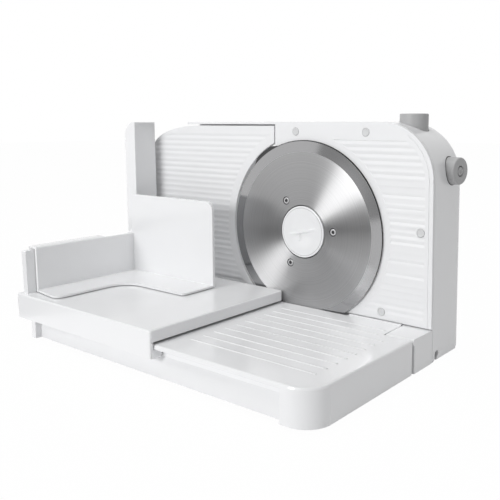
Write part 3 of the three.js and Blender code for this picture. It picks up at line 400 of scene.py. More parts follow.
def add_group(tree, group, values):
    node = tree.nodes.new("ShaderNodeGroup")
    node.node_tree = group
    for label, value in values.items():
        node.inputs[label].default_value = value
    shader = tree.nodes["Principled BSDF"]
    tree.links.new(node.outputs["Colour"], shader.inputs["Base Color"])
    tree.links.new(node.outputs["Roughness"], shader.inputs["Roughness"])
    tree.links.new(node.outputs["Normal"], shader.inputs["Normal"])
    return node, shader


def plastic(name, colour, tone, gloss, grain_scale, grain_height, coat=0.0):
    material, tree = new_material(name)
    shader = add_group(tree, MOULDED, {
        "Colour": (*colour, 1),
        "Tone": tone,
        "Gloss Low": gloss[0],
        "Gloss High": gloss[1],
        "Grain Scale": grain_scale,
        "Grain Height": grain_height,
    })[1]
    shader.inputs["Coat Weight"].default_value = coat
    shader.inputs["Coat Roughness"].default_value = COAT_ROUGHNESS
    return material


FINISH = {
    "white_plastic": plastic("white_plastic", (0.885, 0.89, 0.9), 0.02, (0.16, 0.26), 700, 0.015, 0.3),
    "grey_plastic": plastic("grey_plastic", (0.465, 0.467, 0.47), 0.08, (0.4, 0.52), 2200, 0.12),
    "pale_grey_plastic": plastic(
        "pale_grey_plastic", (0.68, 0.685, 0.69), 0.04, (0.35, 0.45), 1500, 0.06
    ),
    "dark_plastic": plastic("dark_plastic", (0.03, 0.03, 0.032), 0.1, (0.45, 0.6), 1500, 0.1),
    "gear_plastic": plastic("gear_plastic", (0.75, 0.7, 0.58), 0.06, (0.4, 0.5), 1500, 0.05),
    "rubber": plastic("rubber", (0.42, 0.42, 0.425), 0.1, (0.75, 0.9), 3000, 0.3),
}
SATIN_WHITE = plastic("satin_white", (0.87, 0.875, 0.885), 0.02, (0.34, 0.44), 700, 0.015)
print("plastics:", ", ".join(FINISH))

# %% [markdown]
# ## Metals
# The steels and the brass share the ring group, centred on the blade's axis. The blade is brushed, and a
# brush stretches each highlight across its marks, so that one has an anisotropic shader. Its tangent
# comes from a UV map that the blade gets later, whose U runs outward.

# %% Metals
blade_low, blade_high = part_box("blade")
AXIS = (blade_low + blade_high) / 2
BLADE_RADIUS = (blade_high.x - blade_low.x) / 2
OUTWARD = "outward"


def metal(name, colour, tone, roughness, ring_scale, height, anisotropy=0.0):
    material, tree = new_material(name)
    place = tree.nodes.new("ShaderNodeTexCoord")
    mapping = tree.nodes.new("ShaderNodeMapping")
    mapping.inputs["Location"].default_value = -AXIS
    tree.links.new(place.outputs["Object"], mapping.inputs["Vector"])
    node, shader = add_group(tree, RINGS, {
        "Colour": (*colour, 1),
        "Tone": tone,
        "Roughness": roughness,
        "Ring Scale": ring_scale,
        "Height": height,
    })
    tree.links.new(mapping.outputs["Vector"], node.inputs["Place"])
    shader.inputs["Metallic"].default_value = 1
    if anisotropy:
        shader.inputs["Anisotropic"].default_value = anisotropy
        tangent = tree.nodes.new("ShaderNodeTangent")
        tangent.direction_type = "UV_MAP"
        tangent.uv_map = OUTWARD
        tree.links.new(tangent.outputs["Tangent"], shader.inputs["Tangent"])
    return material


FINISH["blade_steel"] = metal("blade_steel", (0.48, 0.48, 0.485), 0.45, 0.32, 1100, 0.1, 0.97)
FINISH["steel"] = metal("steel", (0.56, 0.565, 0.57), 0.12, 0.28, 5000, 0.05)
FINISH["brass"] = metal("brass", (0.6, 0.42, 0.18), 0.12, 0.32, 5000, 0.05)
BEVEL_STEEL = metal("bevel_steel", (0.39, 0.39, 0.395), 0.1, 0.1, 3500, 0)
BRIGHT_STEEL = metal("bright_steel", (0.55, 0.55, 0.555), 0.05, 0.5, 5000, 0.05)
print("all finishes:", ", ".join(FINISH))

# %% [markdown]
# ## Pieces and their places
# A piece of this scene stands in the place of one or more CAD nodes. It takes the finish that the record
# gives the node, and it rides on the node's body, so that it moves with the joint. These few helpers do
# that for every piece below. Weighted normals keep large faces flat where narrow rounded edges are
# shaded smooth.

# %% Helpers for pieces
SHARP = math.radians(28)
SLOT_OF = {part["node"]: part["material_slot"] for part in frame["record"]["subparts"]}
BODY_OF = {node: body for body, nodes in frame["record"]["behaviour"]["bodies"].items() for node in nodes}


def flatten(piece):
    """Turns a piece and its modifiers into one plain mesh."""
    depsgraph = bpy.context.evaluated_depsgraph_get()
    mesh = bpy.data.meshes.new_from_object(piece.evaluated_get(depsgraph))
    piece.modifiers.clear()
    piece.data = mesh
    return piece


def smooth(piece, angle=SHARP):
    piece.data.shade_smooth()
    piece.data.set_sharp_from_angle(angle=angle)
    weighted = piece.modifiers.new("even_faces", "WEIGHTED_NORMAL")
    weighted.keep_sharp = True
    return flatten(piece)


def stand_for(piece, nodes):
    """Puts a piece in the place of these nodes and on their body, and hides the nodes."""
    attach(piece, BODY_OF[nodes[0]])
    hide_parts(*nodes)


def dress(piece, node):
    """Gives a piece the finish of the node that it stands for, and the node's place."""
    piece.data.materials.clear()
    piece.data.materials.append(FINISH[SLOT_OF[node]])
    stand_for(piece, [node])
    return piece


print("bodies:", ", ".join(sorted(set(BODY_OF.values()))))

# %% [markdown]
# ## Two trimmed mouldings
# Two mouldings differ a little from their solids. The right end of the skirt's flange is cut at a slant,
# so that a dark gap shows under the carriage, and the underside of the pusher's floor is lifted, so that
# a thin dark line shows below its edge. Moving a few corners before the edges are rounded is the
# shortest way to do both.

# %% Trimmed mouldings
NEAR = 0.01 * MM
FLANGE_TRIM = 22 * MM
FLOOR_LIFT = 0.45 * MM


def trim_flange(bm):
    right = max(vert.co.x for vert in bm.verts)
    back = max(vert.co.y for vert in bm.verts)
    for vert in bm.verts:
        if vert.co.x > right - NEAR and vert.co.y > back - NEAR:
            vert.co.x -= FLANGE_TRIM


def raise_floor(bm):
    low = min(vert.co.z for vert in bm.verts)
    for vert in bm.verts:
        if vert.co.z < low + NEAR:
            vert.co.z += FLOOR_LIFT


RESHAPED = {"carriage_skirt": trim_flange, "food_pusher": raise_floor}
print("trimmed mouldings:", ", ".join(RESHAPED))

# %% [markdown]
# ## Mouldings
# A CAD solid has sharp edges, and real mouldings don't. Each visible moulding is a copy of its node
# whose triangles are merged into faces and whose sharp edges are rounded by a narrow bevel. A Bevel
# modifier could do that too, but bmesh lets the script choose the edges: short ones, where a bevel would
# fold over itself, stay sharp. The flutes are shallow, so the two fluted plates need a much smaller
# crease angle to keep their lines.

# %% Mouldings
BEVEL_STEPS = 3
MERGE_DISTANCE = 0.001 * MM
MERGE_ANGLE = math.radians(0.5)
SHORTEST_EDGE = 2.5 * MM
FLUTED = {"front_plate", "stop_plate"}
FLUTED_SHORTEST = 6 * MM
FLUTED_CREASE = math.radians(6)
EDGES = {
    "motor_housing": 0.5,
    "back_cover": 0.4,
    "arm_cover": 0.6,
    "front_plate": 0.3,
    "stop_plate": 0.3,
    "tray": 0.4,
    "carriage_skirt": 0.4,
    "carriage": 0.5,
    "food_pusher": 0.5,
    "thickness_knob": 0.4,
}


def is_sharp(edge, shortest):
    return edge.is_manifold and edge.calc_face_angle(0) > SHARP and edge.calc_length() > shortest


def moulding(node, radius, shortest, crease):
    """A copy of a node with rounded edges. Edges shorter than the given length stay sharp, and so does
    the shading over an edge that turns by more than the crease angle."""
    bm = bmesh.new()
    bm.from_mesh(frame["nodes"][node].data)
    bmesh.ops.remove_doubles(bm, verts=bm.verts, dist=MERGE_DISTANCE)
    bmesh.ops.dissolve_limit(bm, angle_limit=MERGE_ANGLE, verts=bm.verts, edges=bm.edges)
    if node in RESHAPED:
        RESHAPED[node](bm)
    sharp = [edge for edge in bm.edges if is_sharp(edge, shortest)]
    bmesh.ops.bevel(bm, geom=sharp, offset=radius, segments=BEVEL_STEPS, profile=0.5, affect="EDGES",
                    clamp_overlap=False)
    piece = as_object(node + "_moulding", bm)
    print(node, "edges rounded:", len(sharp), "faces:", len(piece.data.polygons))
    return dress(smooth(piece, crease), node)


for node, edge in EDGES.items():
    if node in FLUTED:
        plate = moulding(node, edge * MM, FLUTED_SHORTEST, FLUTED_CREASE)
        plate.data.materials[0] = SATIN_WHITE
    else:
        moulding(node, edge * MM, SHORTEST_EDGE, SHARP)

# %% [markdown]
# ## Turned pieces
# The blade, the blade lock and the buttons are bodies of revolution. The CAD solids are faceted, so each
# is made again here with many more steps from a short profile, inside the same box. A UV map whose U
# runs outward goes with each one, because the brushed blade needs to know where its rings run.

# %% Revolve
def placed(axis, centre, radius, along, angle):
    """A point of a turned piece: a radius and an angle about a line along the named axis."""
    across, up = radius * math.cos(angle), radius * math.sin(angle)
    if axis == "x":
        return (along, centre.y + across, centre.z + up)
    if axis == "y":
        return (centre.x + across, along, centre.z + up)
    return (centre.x + across, centre.y + up, along)


def turned(name, axis, centre, profile, steps, lift=None):
    """Revolves a (radius, along) profile; lift(radius, angle, along) may change where a point lies."""
    bm = bmesh.new()
    outward = bm.loops.layers.uv.new(OUTWARD)
    largest = max(radius for radius, along in profile)
    rows = []
    for radius, along in profile:
        count = steps if radius else 1
        row = []
        for step in range(count):
            angle = 2 * math.pi * step / steps
            height = lift(radius, angle, along) if lift else along
            row.append(bm.verts.new(placed(axis, centre, radius, height, angle)))
        rows.append(row)
    pairs = list(zip(range(len(rows)), range(1, len(rows))))
    if profile[0][0]:
        pairs.append((len(rows) - 1, 0))
    for first, second in pairs:
        for step in range(steps):
            corners = []
            for row, turn in ((first, step), (second, step), (second, step + 1), (first, step + 1)):
                vert = rows[row][turn % len(rows[row])]
                if all(vert is not other for other, uv in corners):
                    corners.append((vert, (profile[row][0] / largest, turn / steps)))
            face = bm.faces.new([vert for vert, uv in corners])
            for loop, (vert, uv) in zip(face.loops, corners):
                loop[outward].uv = uv
    bmesh.ops.recalc_face_normals(bm, faces=bm.faces)
    return as_object(name, bm)


blade_top = placed("y", AXIS, BLADE_RADIUS, AXIS.y, math.pi / 2)
print("top of the blade:", round(blade_top[2] / MM, 1), "mm above the ground")

# %% [markdown]
# ## Blade
# The blade is a brushed disc, so bright and dark sectors fan out from its middle, and it has a ground
# bevel round its rim. It could be a copy of the faceted solid, but a turned profile keeps its rim round.
# The bevel was ground smooth, so it has a finish of its own. Three countersunk holes take the blade's
# screws. Their narrow cones are painted dark, as painted shade.

# %% Blade disc
BEVEL_WIDTH = 10 * MM
BLADE_HOLE = 25.45 * MM
BLADE_STEPS = 192
BLADE_CREASE = math.radians(3)
FACE_BREAK = (0.4 * MM, 0.06 * MM)
RIM_EDGE = (0.6 * MM, 0.2 * MM)
RIM_THICKNESS = 0.14 * MM
FACES_FRONT = -0.5
FACES_SIDEWAYS = 0.9
SCREW_NODES = ["blade_screw_1", "blade_screw_2", "blade_screw_3"]
SINK_SIDES = 32
SINK_DEPTH = 0.9 * MM
SINK_MIDDLE = 0.4 * SINK_DEPTH
SINK_WIDE = 4 * MM
SINK_NARROW = 2.6 * MM


def middle(node):
    low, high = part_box(node)
    return (low + high) / 2


def countersinks(face):
    """Cones at the blade's screws, wide at the blade's face."""
    bm = bmesh.new()
    turn = Vector((0, 1, 0)).to_track_quat("Z", "Y").to_matrix().to_4x4()
    for node in SCREW_NODES:
        place = middle(node)
        made = bmesh.ops.create_cone(bm, cap_ends=True, segments=SINK_SIDES, radius1=SINK_WIDE,
                                     radius2=SINK_NARROW, depth=SINK_DEPTH, matrix=turn)
        bmesh.ops.translate(bm, verts=made["verts"], vec=(place.x, face + SINK_MIDDLE, place.z))
    return as_object("countersinks", bm)


def make_blade():
    rim = BLADE_RADIUS - BEVEL_WIDTH
    front, back = blade_low.y, blade_high.y
    profile = [
        (BLADE_HOLE, back),
        (BLADE_HOLE, front),
        (rim - FACE_BREAK[0], front),
        (rim, front + FACE_BREAK[1]),
        (BLADE_RADIUS - RIM_EDGE[0], back - RIM_EDGE[1]),
        (BLADE_RADIUS, back - RIM_THICKNESS),
        (BLADE_RADIUS, back),
    ]
    piece = turned("blade_disc", "y", AXIS, profile, BLADE_STEPS)
    cutter = countersinks(front)
    holes = piece.modifiers.new("countersinks", "BOOLEAN")
    holes.object = cutter
    holes.solver = "EXACT"
    flatten(piece)
    bpy.data.objects.remove(cutter)
    piece.data.shade_smooth()
    piece.data.set_sharp_from_angle(angle=BLADE_CREASE)
    dress(piece, "blade")
    piece.data.materials.append(BEVEL_STEEL)
    piece.data.materials.append(FINISH["dark_plastic"])
    for face in piece.data.polygons:
        reach = math.hypot(face.center.x - AXIS.x, face.center.z - AXIS.z)
        if reach > rim and face.normal.y < FACES_FRONT:
            face.material_index = 1
        # Sideways faces in the countersinks get the dark finish as painted shade.
        elif BLADE_HOLE + MM < reach < rim - MM and abs(face.normal.y) < FACES_SIDEWAYS:
            face.material_index = 2
    print("blade faces:", len(piece.data.polygons))


make_blade()

# %% [markdown]
# ## Blade lock
# The white cap in the middle of the blade has two finger scoops. They deepen towards a thin ridge that
# the fingers turn, and a short raised mark shows which way it stands. A fine groove runs near the rim.
# The face is a height rule over a fine polar grid: cheaper to write, and smoother, than cutting solids.

# %% Height of the lock's face
RIDGE_ANGLE = math.radians(14)
RIDGE_HALF = 0.55 * MM
RIDGE_SLOPE = 1.4 * MM
SCOOP_RADIUS = 18.5 * MM
SCOOP_DEPTH = 2.3 * MM
SCOOP_RAMP = 17.5 * MM
GROOVE_RADIUS = 22.6 * MM
GROOVE_DEPTH = 0.45 * MM
GROOVE_HALF = 0.5 * MM
MARK_LOW = Vector((-5.0, -8.8)) * MM
MARK_HIGH = Vector((-3.4, -3.2)) * MM
MARK_SLOPE = 0.6 * MM
MARK_SINK = 0.45


def eased(value):
    share = min(max(value, 0), 1)
    return share * share * (3 - 2 * share)


def lock_depth(radius, angle):
    """How far the cap's face lies behind its front plane."""
    x, z = radius * math.cos(angle), radius * math.sin(angle)
    across = z * math.cos(RIDGE_ANGLE) - x * math.sin(RIDGE_ANGLE)
    scoop = SCOOP_DEPTH * eased((SCOOP_RADIUS - radius) / SCOOP_RAMP)
    scoop *= eased((abs(across) - RIDGE_HALF) / RIDGE_SLOPE)
    beside = max(MARK_LOW.x - x, x - MARK_HIGH.x, MARK_LOW.y - z, z - MARK_HIGH.y)
    scoop *= MARK_SINK + (1 - MARK_SINK) * eased(beside / MARK_SLOPE)
    groove = GROOVE_DEPTH * (1 - eased(abs(radius - GROOVE_RADIUS) / GROOVE_HALF))
    return scoop + groove


deepest = max(lock_depth(step * MM, math.pi / 2) for step in range(19))
print("deepest point of the upper scoop:", round(deepest / MM, 2), "mm")

# %% [markdown]
# ## Cap of the blade lock
# The height rule lifts the rows of the cap's flat front. A rounded edge, a side and a short stem behind
# it complete the profile, and the groove near the rim gets the pale grey finish as painted
# shade.

# %% Blade lock
LOCK_ROWS = 68
LOCK_STEPS = 256
EDGE_STEPS = 4
LOCK_EDGE = 0.9 * MM
LOCK_THICKNESS = 4.1 * MM
LOCK_STEM = 4 * MM
GROOVE_SHADE = 0.4 * MM


def make_blade_lock():
    low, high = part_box("blade_lock")
    radius = (high.x - low.x) / 2
    flat = radius - LOCK_EDGE
    back = low.y + LOCK_THICKNESS
    profile = [(flat * row / LOCK_ROWS, low.y) for row in range(LOCK_ROWS + 1)]
    for step in range(1, EDGE_STEPS + 1):
        angle = math.pi / 2 * step / EDGE_STEPS
        profile.append((flat + LOCK_EDGE * math.sin(angle), low.y + LOCK_EDGE * (1 - math.cos(angle))))
    profile += [(radius, back), (LOCK_STEM, back), (LOCK_STEM, high.y), (0, high.y)]

    def lift(r, angle, along):
        return along + (lock_depth(r, angle) if along == low.y else 0)

    piece = turned("blade_lock_cap", "y", AXIS, profile, LOCK_STEPS, lift)
    dress(smooth(piece), "blade_lock")
    piece.data.materials.append(FINISH["pale_grey_plastic"])
    # Faces in the groove are painted pale grey as shade.
    for face in piece.data.polygons:
        reach = math.hypot(face.center.x - AXIS.x, face.center.z - AXIS.z)
        face.material_index = int(abs(reach - GROOVE_RADIUS) < GROOVE_SHADE and face.center.y < back)
    print("blade lock faces:", len(piece.data.polygons))


make_blade_lock()

# %% [markdown]
# ## Buttons
# Both buttons are grey moulded caps on a flange that keeps them in the housing. They share a stem, a
# flange and a rounded edge, so two helpers give those parts of both profiles.

# %% Shared parts of the buttons
BUTTON_STEPS = 96
FLANGE = 1.2 * MM
FLANGE_THICKNESS = 2.5 * MM
STEM_RADIUS = 3 * MM
BUTTON_EDGE = 0.9 * MM


def rounded(radius, along, edge):
    """Profile points that turn from a cap's side, at full radius, into its end face."""
    points = []
    for step in range(EDGE_STEPS + 1):
        angle = math.pi / 2 * step / EDGE_STEPS
        points.append((radius - edge + edge * math.cos(angle), along - edge + edge * math.sin(angle)))
    return points


def button_root(start, neck, wide, radius):
    """Profile of the hidden end of a button: stem, flange and the start of its side."""
    under = start + neck
    over = under + FLANGE_THICKNESS
    stem = [(0, start), (STEM_RADIUS, start), (STEM_RADIUS, under)]
    return stem + [(wide, under), (wide, over), (radius, over)]


print("edge of a button:", [(round(r, 2), round(along, 2)) for r, along in rounded(1, 1, 1)])

# %% [markdown]
# ## Power button
# The button on the side has a ring and a dimple where the thumb finds its middle. Its face leans a
# little to the front: each point is set back in proportion to its distance from the rear edge, and the
# lean fades out towards the flange, so that the button still slides straight.

# %% Power button
POWER_EDGE = 1.5 * BUTTON_EDGE
POWER_NECK = 1 * MM
FACE_SLOPE = math.tan(math.radians(7))
RING_RADIUS = 4.2 * MM
RING_SINK = 0.8 * MM
RING_HALF = 0.9 * MM
RING_FLOOR = 0.4 * MM
RING_SHADE = 0.3 * MM
DIMPLE = [(2 * MM, 0), (1.2 * MM, 0.8 * MM), (0, 0.9 * MM)]


def make_power_button():
    low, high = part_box("power_button")
    wide = (high.y - low.y) / 2
    radius = wide - FLANGE
    flat = radius - POWER_EDGE
    face = high.x
    base = low.x + POWER_NECK + FLANGE_THICKNESS
    floor = face - RING_SINK
    profile = button_root(low.x, POWER_NECK, wide, radius) + rounded(radius, face, POWER_EDGE)
    profile += [(RING_RADIUS + RING_HALF, face), (RING_RADIUS + RING_FLOOR, floor)]
    profile += [(RING_RADIUS - RING_FLOOR, floor), (RING_RADIUS - RING_HALF, face)]
    profile += [(reach, face - depth) for reach, depth in DIMPLE]

    def lean(r, angle, along):
        share = min(max((along - base) / (face - base), 0), 1)
        return along - share * FACE_SLOPE * (flat - r * math.cos(angle))

    centre = middle("power_button")
    piece = turned("power_button_cap", "x", centre, profile, BUTTON_STEPS, lean)
    dress(smooth(piece), "power_button")
    piece.data.materials.append(FINISH["dark_plastic"])
    # The floor of the ring's groove is painted dark as shade.
    for part in piece.data.polygons:
        reach = math.hypot(part.center.y - centre.y, part.center.z - centre.z)
        part.material_index = int(abs(reach - RING_RADIUS) < RING_SHADE and part.center.x > base)
    return radius


POWER_RADIUS = make_power_button()
print("power button radius:", round(POWER_RADIUS / MM, 2), "mm")

# %% [markdown]
# ## Painted shade in the gap round the power button
# A dark ring is painted shade for the gap between the button and the housing. It follows the housing's
# rounded corner: the flat side as far as the corner's start, and an arc above it.

# %% Painted shade round the power button
SIDE_X = 170.5 * MM
CORNER_START = 156.5 * MM
CORNER_RADIUS = 50 * MM
GAP_INNER = 0.05 * MM
GAP_OUTER = 0.75 * MM
GAP_BACK = 0.3 * MM
GAP_FRONT = 0.15 * MM


def add_piece(piece, slot, body):
    """Finishes a piece that stands in no node's place and rides on the body it sits on."""
    piece.data.materials.append(FINISH[slot])
    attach(piece, body)
    print(piece.name, "faces:", len(piece.data.polygons))


def make_button_gap_shade():
    centre = middle("power_button")

    def follow(r, angle, along):
        rise = max(0, centre.z + r * math.sin(angle) - CORNER_START)
        return along - CORNER_RADIUS + math.sqrt(CORNER_RADIUS ** 2 - rise ** 2)

    inner, outer = POWER_RADIUS + GAP_INNER, POWER_RADIUS + GAP_OUTER
    back, front = SIDE_X - GAP_BACK, SIDE_X + GAP_FRONT
    profile = [(inner, back), (inner, front), (outer, front), (outer, back)]
    ring = turned("power_button_gap_shade", "x", centre, profile, BUTTON_STEPS, follow)
    # The ring's dark finish is painted shade of the gap.
    add_piece(smooth(ring), "dark_plastic", BODY_OF["motor_housing"])


make_button_gap_shade()

# %% [markdown]
# ## Lock button
# The button on the top is slightly hollow, so that a finger rests in it. A short curve of profile
# points, which rises with the square of the distance from the middle, gives the hollow.

# %% Lock button
LOCK_NECK = 1.5 * MM
HOLLOW_RIM = 2.2 * MM
HOLLOW_DEPTH = 0.9 * MM
HOLLOW_STEPS = 8


def make_lock_button():
    low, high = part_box("lock_button")
    wide = (high.x - low.x) / 2
    radius = wide - FLANGE
    top = high.z
    hollow = radius - HOLLOW_RIM
    profile = button_root(low.z, LOCK_NECK, wide, radius) + rounded(radius, top, BUTTON_EDGE)
    for step in range(HOLLOW_STEPS + 1):
        share = 1 - step / HOLLOW_STEPS
        profile.append((hollow * share, top - HOLLOW_DEPTH * (1 - share * share)))
    piece = turned("lock_button_cap", "z", middle("lock_button"), profile, BUTTON_STEPS)
    dress(smooth(piece), "lock_button")
    print("lock button radius:", round(radius / MM, 2), "mm")


make_lock_button()

# %% [markdown]
# ## Screws, plugs and feet
# These are the same small turned head over and over: a disc with a broken edge, a recess in its end and
# a shank behind. One Geometry Nodes tree makes that head from named sizes and puts it on every point of
# a mesh. Two helpers build its steps: a cylinder, and faces that are extruded and then scaled.

# %% Steps of the tree
HEAD_SIDES = 40


def cylinder(tree, radius, depth, middle_height):
    """A cylinder along Z whose middle lies at the given height."""
    body = tree.nodes.new("GeometryNodeMeshCylinder")
    body.fill_type = "NGON"
    body.inputs["Vertices"].default_value = HEAD_SIDES
    feed(tree, body.inputs["Radius"], radius)
    feed(tree, body.inputs["Depth"], depth)
    place = tree.nodes.new("ShaderNodeCombineXYZ")
    feed(tree, place.inputs["Z"], middle_height)
    move = tree.nodes.new("GeometryNodeTransform")
    feed(tree, move.inputs["Geometry"], body.outputs["Mesh"])
    feed(tree, move.inputs["Translation"], place.outputs["Vector"])
    return move.outputs["Geometry"], body.outputs["Top"]


def grown(tree, mesh, faces, rise, scale):
    """Extrudes the chosen faces by a height and scales the new end faces."""
    extrude = tree.nodes.new("GeometryNodeExtrudeMesh")
    extrude.mode = "FACES"
    feed(tree, extrude.inputs["Individual"], False)
    feed(tree, extrude.inputs["Mesh"], mesh)
    feed(tree, extrude.inputs["Selection"], faces)
    feed(tree, extrude.inputs["Offset Scale"], rise)
    shrink = tree.nodes.new("GeometryNodeScaleElements")
    shrink.domain = "FACE"
    feed(tree, shrink.inputs["Geometry"], extrude.outputs["Mesh"])
    feed(tree, shrink.inputs["Selection"], extrude.outputs["Top"])
    feed(tree, shrink.inputs["Scale"], scale)
    return shrink.outputs["Geometry"], extrude.outputs["Top"], extrude.outputs["Side"]


print("sides of a head:", HEAD_SIDES)

# %% [markdown]
# ## Tree for turned heads
# The head grows in three steps: its broken edge, the recess's mouth and the recess. The recess's faces
# are marked while they are known, because a recess may be painted dark as shade. Then the shank is
# joined to the head, a copy goes on every point, and the instances are made real, so that the result is
# one plain mesh for each body.

# %% Tree for turned heads
HEAD_INPUTS = {
    "Radius": "NodeSocketFloat",
    "Height": "NodeSocketFloat",
    "Edge": "NodeSocketFloat",
    "Recess Radius": "NodeSocketFloat",
    "Recess Depth": "NodeSocketFloat",
    "Shank Radius": "NodeSocketFloat",
    "Shank Length": "NodeSocketFloat",
    "Facing": "NodeSocketVector",
    "Material": "NodeSocketMaterial",
    "Recess Material": "NodeSocketMaterial",
}
RECESS = "recess"
RECESS_TAPER = 0.8
SHANK_SHARE = -0.49


def one_head(tree, size):
    """A head along Z, with its recess marked, and the shank behind it."""
    half = maths(tree, "MULTIPLY", size["Height"], 0.5)
    head, end = cylinder(tree, size["Radius"], size["Height"], half)
    flat = maths(tree, "SUBTRACT", size["Radius"], size["Edge"])
    head, end = grown(tree, head, end, size["Edge"], maths(tree, "DIVIDE", flat, size["Radius"]))[:2]
    head, end = grown(tree, head, end, 0, maths(tree, "DIVIDE", size["Recess Radius"], flat))[:2]
    sunk = maths(tree, "MULTIPLY", size["Recess Depth"], -1)
    head, end, side = grown(tree, head, end, sunk, RECESS_TAPER)
    inside = tree.nodes.new("FunctionNodeBooleanMath")
    inside.operation = "OR"
    feed(tree, inside.inputs[0], end)
    feed(tree, inside.inputs[1], side)
    mark = tree.nodes.new("GeometryNodeStoreNamedAttribute")
    mark.data_type = "BOOLEAN"
    mark.domain = "FACE"
    feed(tree, mark.inputs["Name"], RECESS)
    feed(tree, mark.inputs["Geometry"], head)
    feed(tree, mark.inputs["Value"], inside.outputs[0])
    shank_middle = maths(tree, "MULTIPLY", size["Shank Length"], SHANK_SHARE)
    shank = cylinder(tree, size["Shank Radius"], size["Shank Length"], shank_middle)[0]
    both = tree.nodes.new("GeometryNodeJoinGeometry")
    feed(tree, both.inputs["Geometry"], mark.outputs["Geometry"])
    feed(tree, both.inputs["Geometry"], shank)
    return both.outputs["Geometry"]


def copied(tree, head, size):
    """A real copy of the head on every point, facing the given way."""
    aim = tree.nodes.new("FunctionNodeAlignRotationToVector")
    aim.axis = "Z"
    feed(tree, aim.inputs["Vector"], size["Facing"])
    copies = tree.nodes.new("GeometryNodeInstanceOnPoints")
    feed(tree, copies.inputs["Points"], size["Places"])
    feed(tree, copies.inputs["Instance"], head)
    feed(tree, copies.inputs["Rotation"], aim.outputs["Rotation"])
    real = tree.nodes.new("GeometryNodeRealizeInstances")
    feed(tree, real.inputs["Geometry"], copies.outputs["Instances"])
    return real.outputs["Geometry"]


def heads_tree():
    tree = bpy.data.node_groups.new("turned_heads", "GeometryNodeTree")
    tree.interface.new_socket("Places", in_out="INPUT", socket_type="NodeSocketGeometry")
    for label, kind in HEAD_INPUTS.items():
        tree.interface.new_socket(label, in_out="INPUT", socket_type=kind)
    tree.interface.new_socket("Heads", in_out="OUTPUT", socket_type="NodeSocketGeometry")
    size = tree.nodes.new("NodeGroupInput").outputs
    whole = tree.nodes.new("GeometryNodeSetMaterial")
    feed(tree, whole.inputs["Geometry"], copied(tree, one_head(tree, size), size))
    feed(tree, whole.inputs["Material"], size["Material"])
    marked = tree.nodes.new("GeometryNodeInputNamedAttribute")
    marked.data_type = "BOOLEAN"
    feed(tree, marked.inputs["Name"], RECESS)
    hollow = tree.nodes.new("GeometryNodeSetMaterial")
    feed(tree, hollow.inputs["Geometry"], whole.outputs["Geometry"])
    feed(tree, hollow.inputs["Selection"], marked.outputs["Attribute"])
    feed(tree, hollow.inputs["Material"], size["Recess Material"])
    feed(tree, tree.nodes.new("NodeGroupOutput").inputs["Heads"], hollow.outputs["Geometry"])
    return tree


HEADS = heads_tree()
HEAD_SOCKET = {
    item.name: item.identifier for item in HEADS.interface.items_tree if item.in_out == "INPUT"
}
print("head inputs:", ", ".join(HEAD_INPUTS))

# %% [markdown]
# ## Heads on their places
# The points come from the CAD nodes, so each head seats where the solid does: its end lies in the end of
# the node's box. Sizes are in millimetres. The blade's screws have a rougher steel than the others,
# which looks evenly bright, and the recesses of all screws are painted dark as shade.

# %% Heads on their places
def seat(node, facing, rise):
    """The point on a node's axis where the underside of its head lies."""
    low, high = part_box(node)
    point = (low + high) / 2
    for i in range(3):
        if facing[i]:
            end = high[i] if facing[i] > 0 else low[i]
            point[i] = end - facing[i] * rise
    return point


def heads(name, nodes, facing, sizes, recess_shade_paint=None, finish=None):
    """One mesh of turned heads in the place of these nodes."""
    own_finish = FINISH[SLOT_OF[nodes[0]]]
    bm = bmesh.new()
    for node in nodes:
        bm.verts.new(seat(node, facing, (sizes["Height"] + sizes["Edge"]) * MM))
    piece = as_object(name, bm)
    modifier = piece.modifiers.new("heads", "NODES")
    modifier.node_group = HEADS
    for label, value in sizes.items():
        modifier[HEAD_SOCKET[label]] = value * MM
    modifier[HEAD_SOCKET["Facing"]] = facing
    modifier[HEAD_SOCKET["Material"]] = finish or own_finish
    # A recess may be painted dark as shade; otherwise it keeps the head's own finish.
    modifier[HEAD_SOCKET["Recess Material"]] = recess_shade_paint or own_finish
    smooth(flatten(piece))
    stand_for(piece, nodes)
    print(name, "heads:", len(nodes), "faces:", len(piece.data.polygons))


def numbered(stem, count):
    return [f"{stem}_{i + 1}" for i in range(count)]


heads("blade_screw_heads", SCREW_NODES, (0, -1, 0), {
    "Radius": 3.1, "Height": 0.6, "Edge": 0.3, "Recess Radius": 1.7, "Recess Depth": 0.6,
    "Shank Radius": 1.5, "Shank Length": 4.2,
}, FINISH["dark_plastic"], BRIGHT_STEEL)
heads("plate_plugs", numbered("plate_plug", 4), (0, -1, 0), {
    "Radius": 3.5, "Height": 2.9, "Edge": 0.4, "Recess Radius": 2.4, "Recess Depth": 0.2,
    "Shank Radius": 1.3, "Shank Length": 2.1,
})
heads("cover_screw_heads", numbered("cover_screw", 4), (0, 1, 0), {
    "Radius": 3.4, "Height": 1.6, "Edge": 0.6, "Recess Radius": 1.4, "Recess Depth": 1.2,
    "Shank Radius": 1.5, "Shank Length": 24,
}, FINISH["dark_plastic"])
FOOT = {
    "Radius": 6, "Height": 1.8, "Edge": 0.8, "Recess Radius": 3.4, "Recess Depth": 0.7,
    "Shank Radius": 4, "Shank Length": 1,
}
heads("housing_feet", numbered("housing_foot", 4), (0, 0, -1), FOOT)
heads("tray_feet", numbered("tray_foot", 2), (0, 0, -1), FOOT)

# %% [markdown]
# ## Painted shadow round the blade
# A thin dark gap outlines the blade's rim. A narrow dark crescent behind the rim is painted shadow for
# it, on the front plate. It is a little wider at the upper left, where it bridges the gap to the stop
# plate.

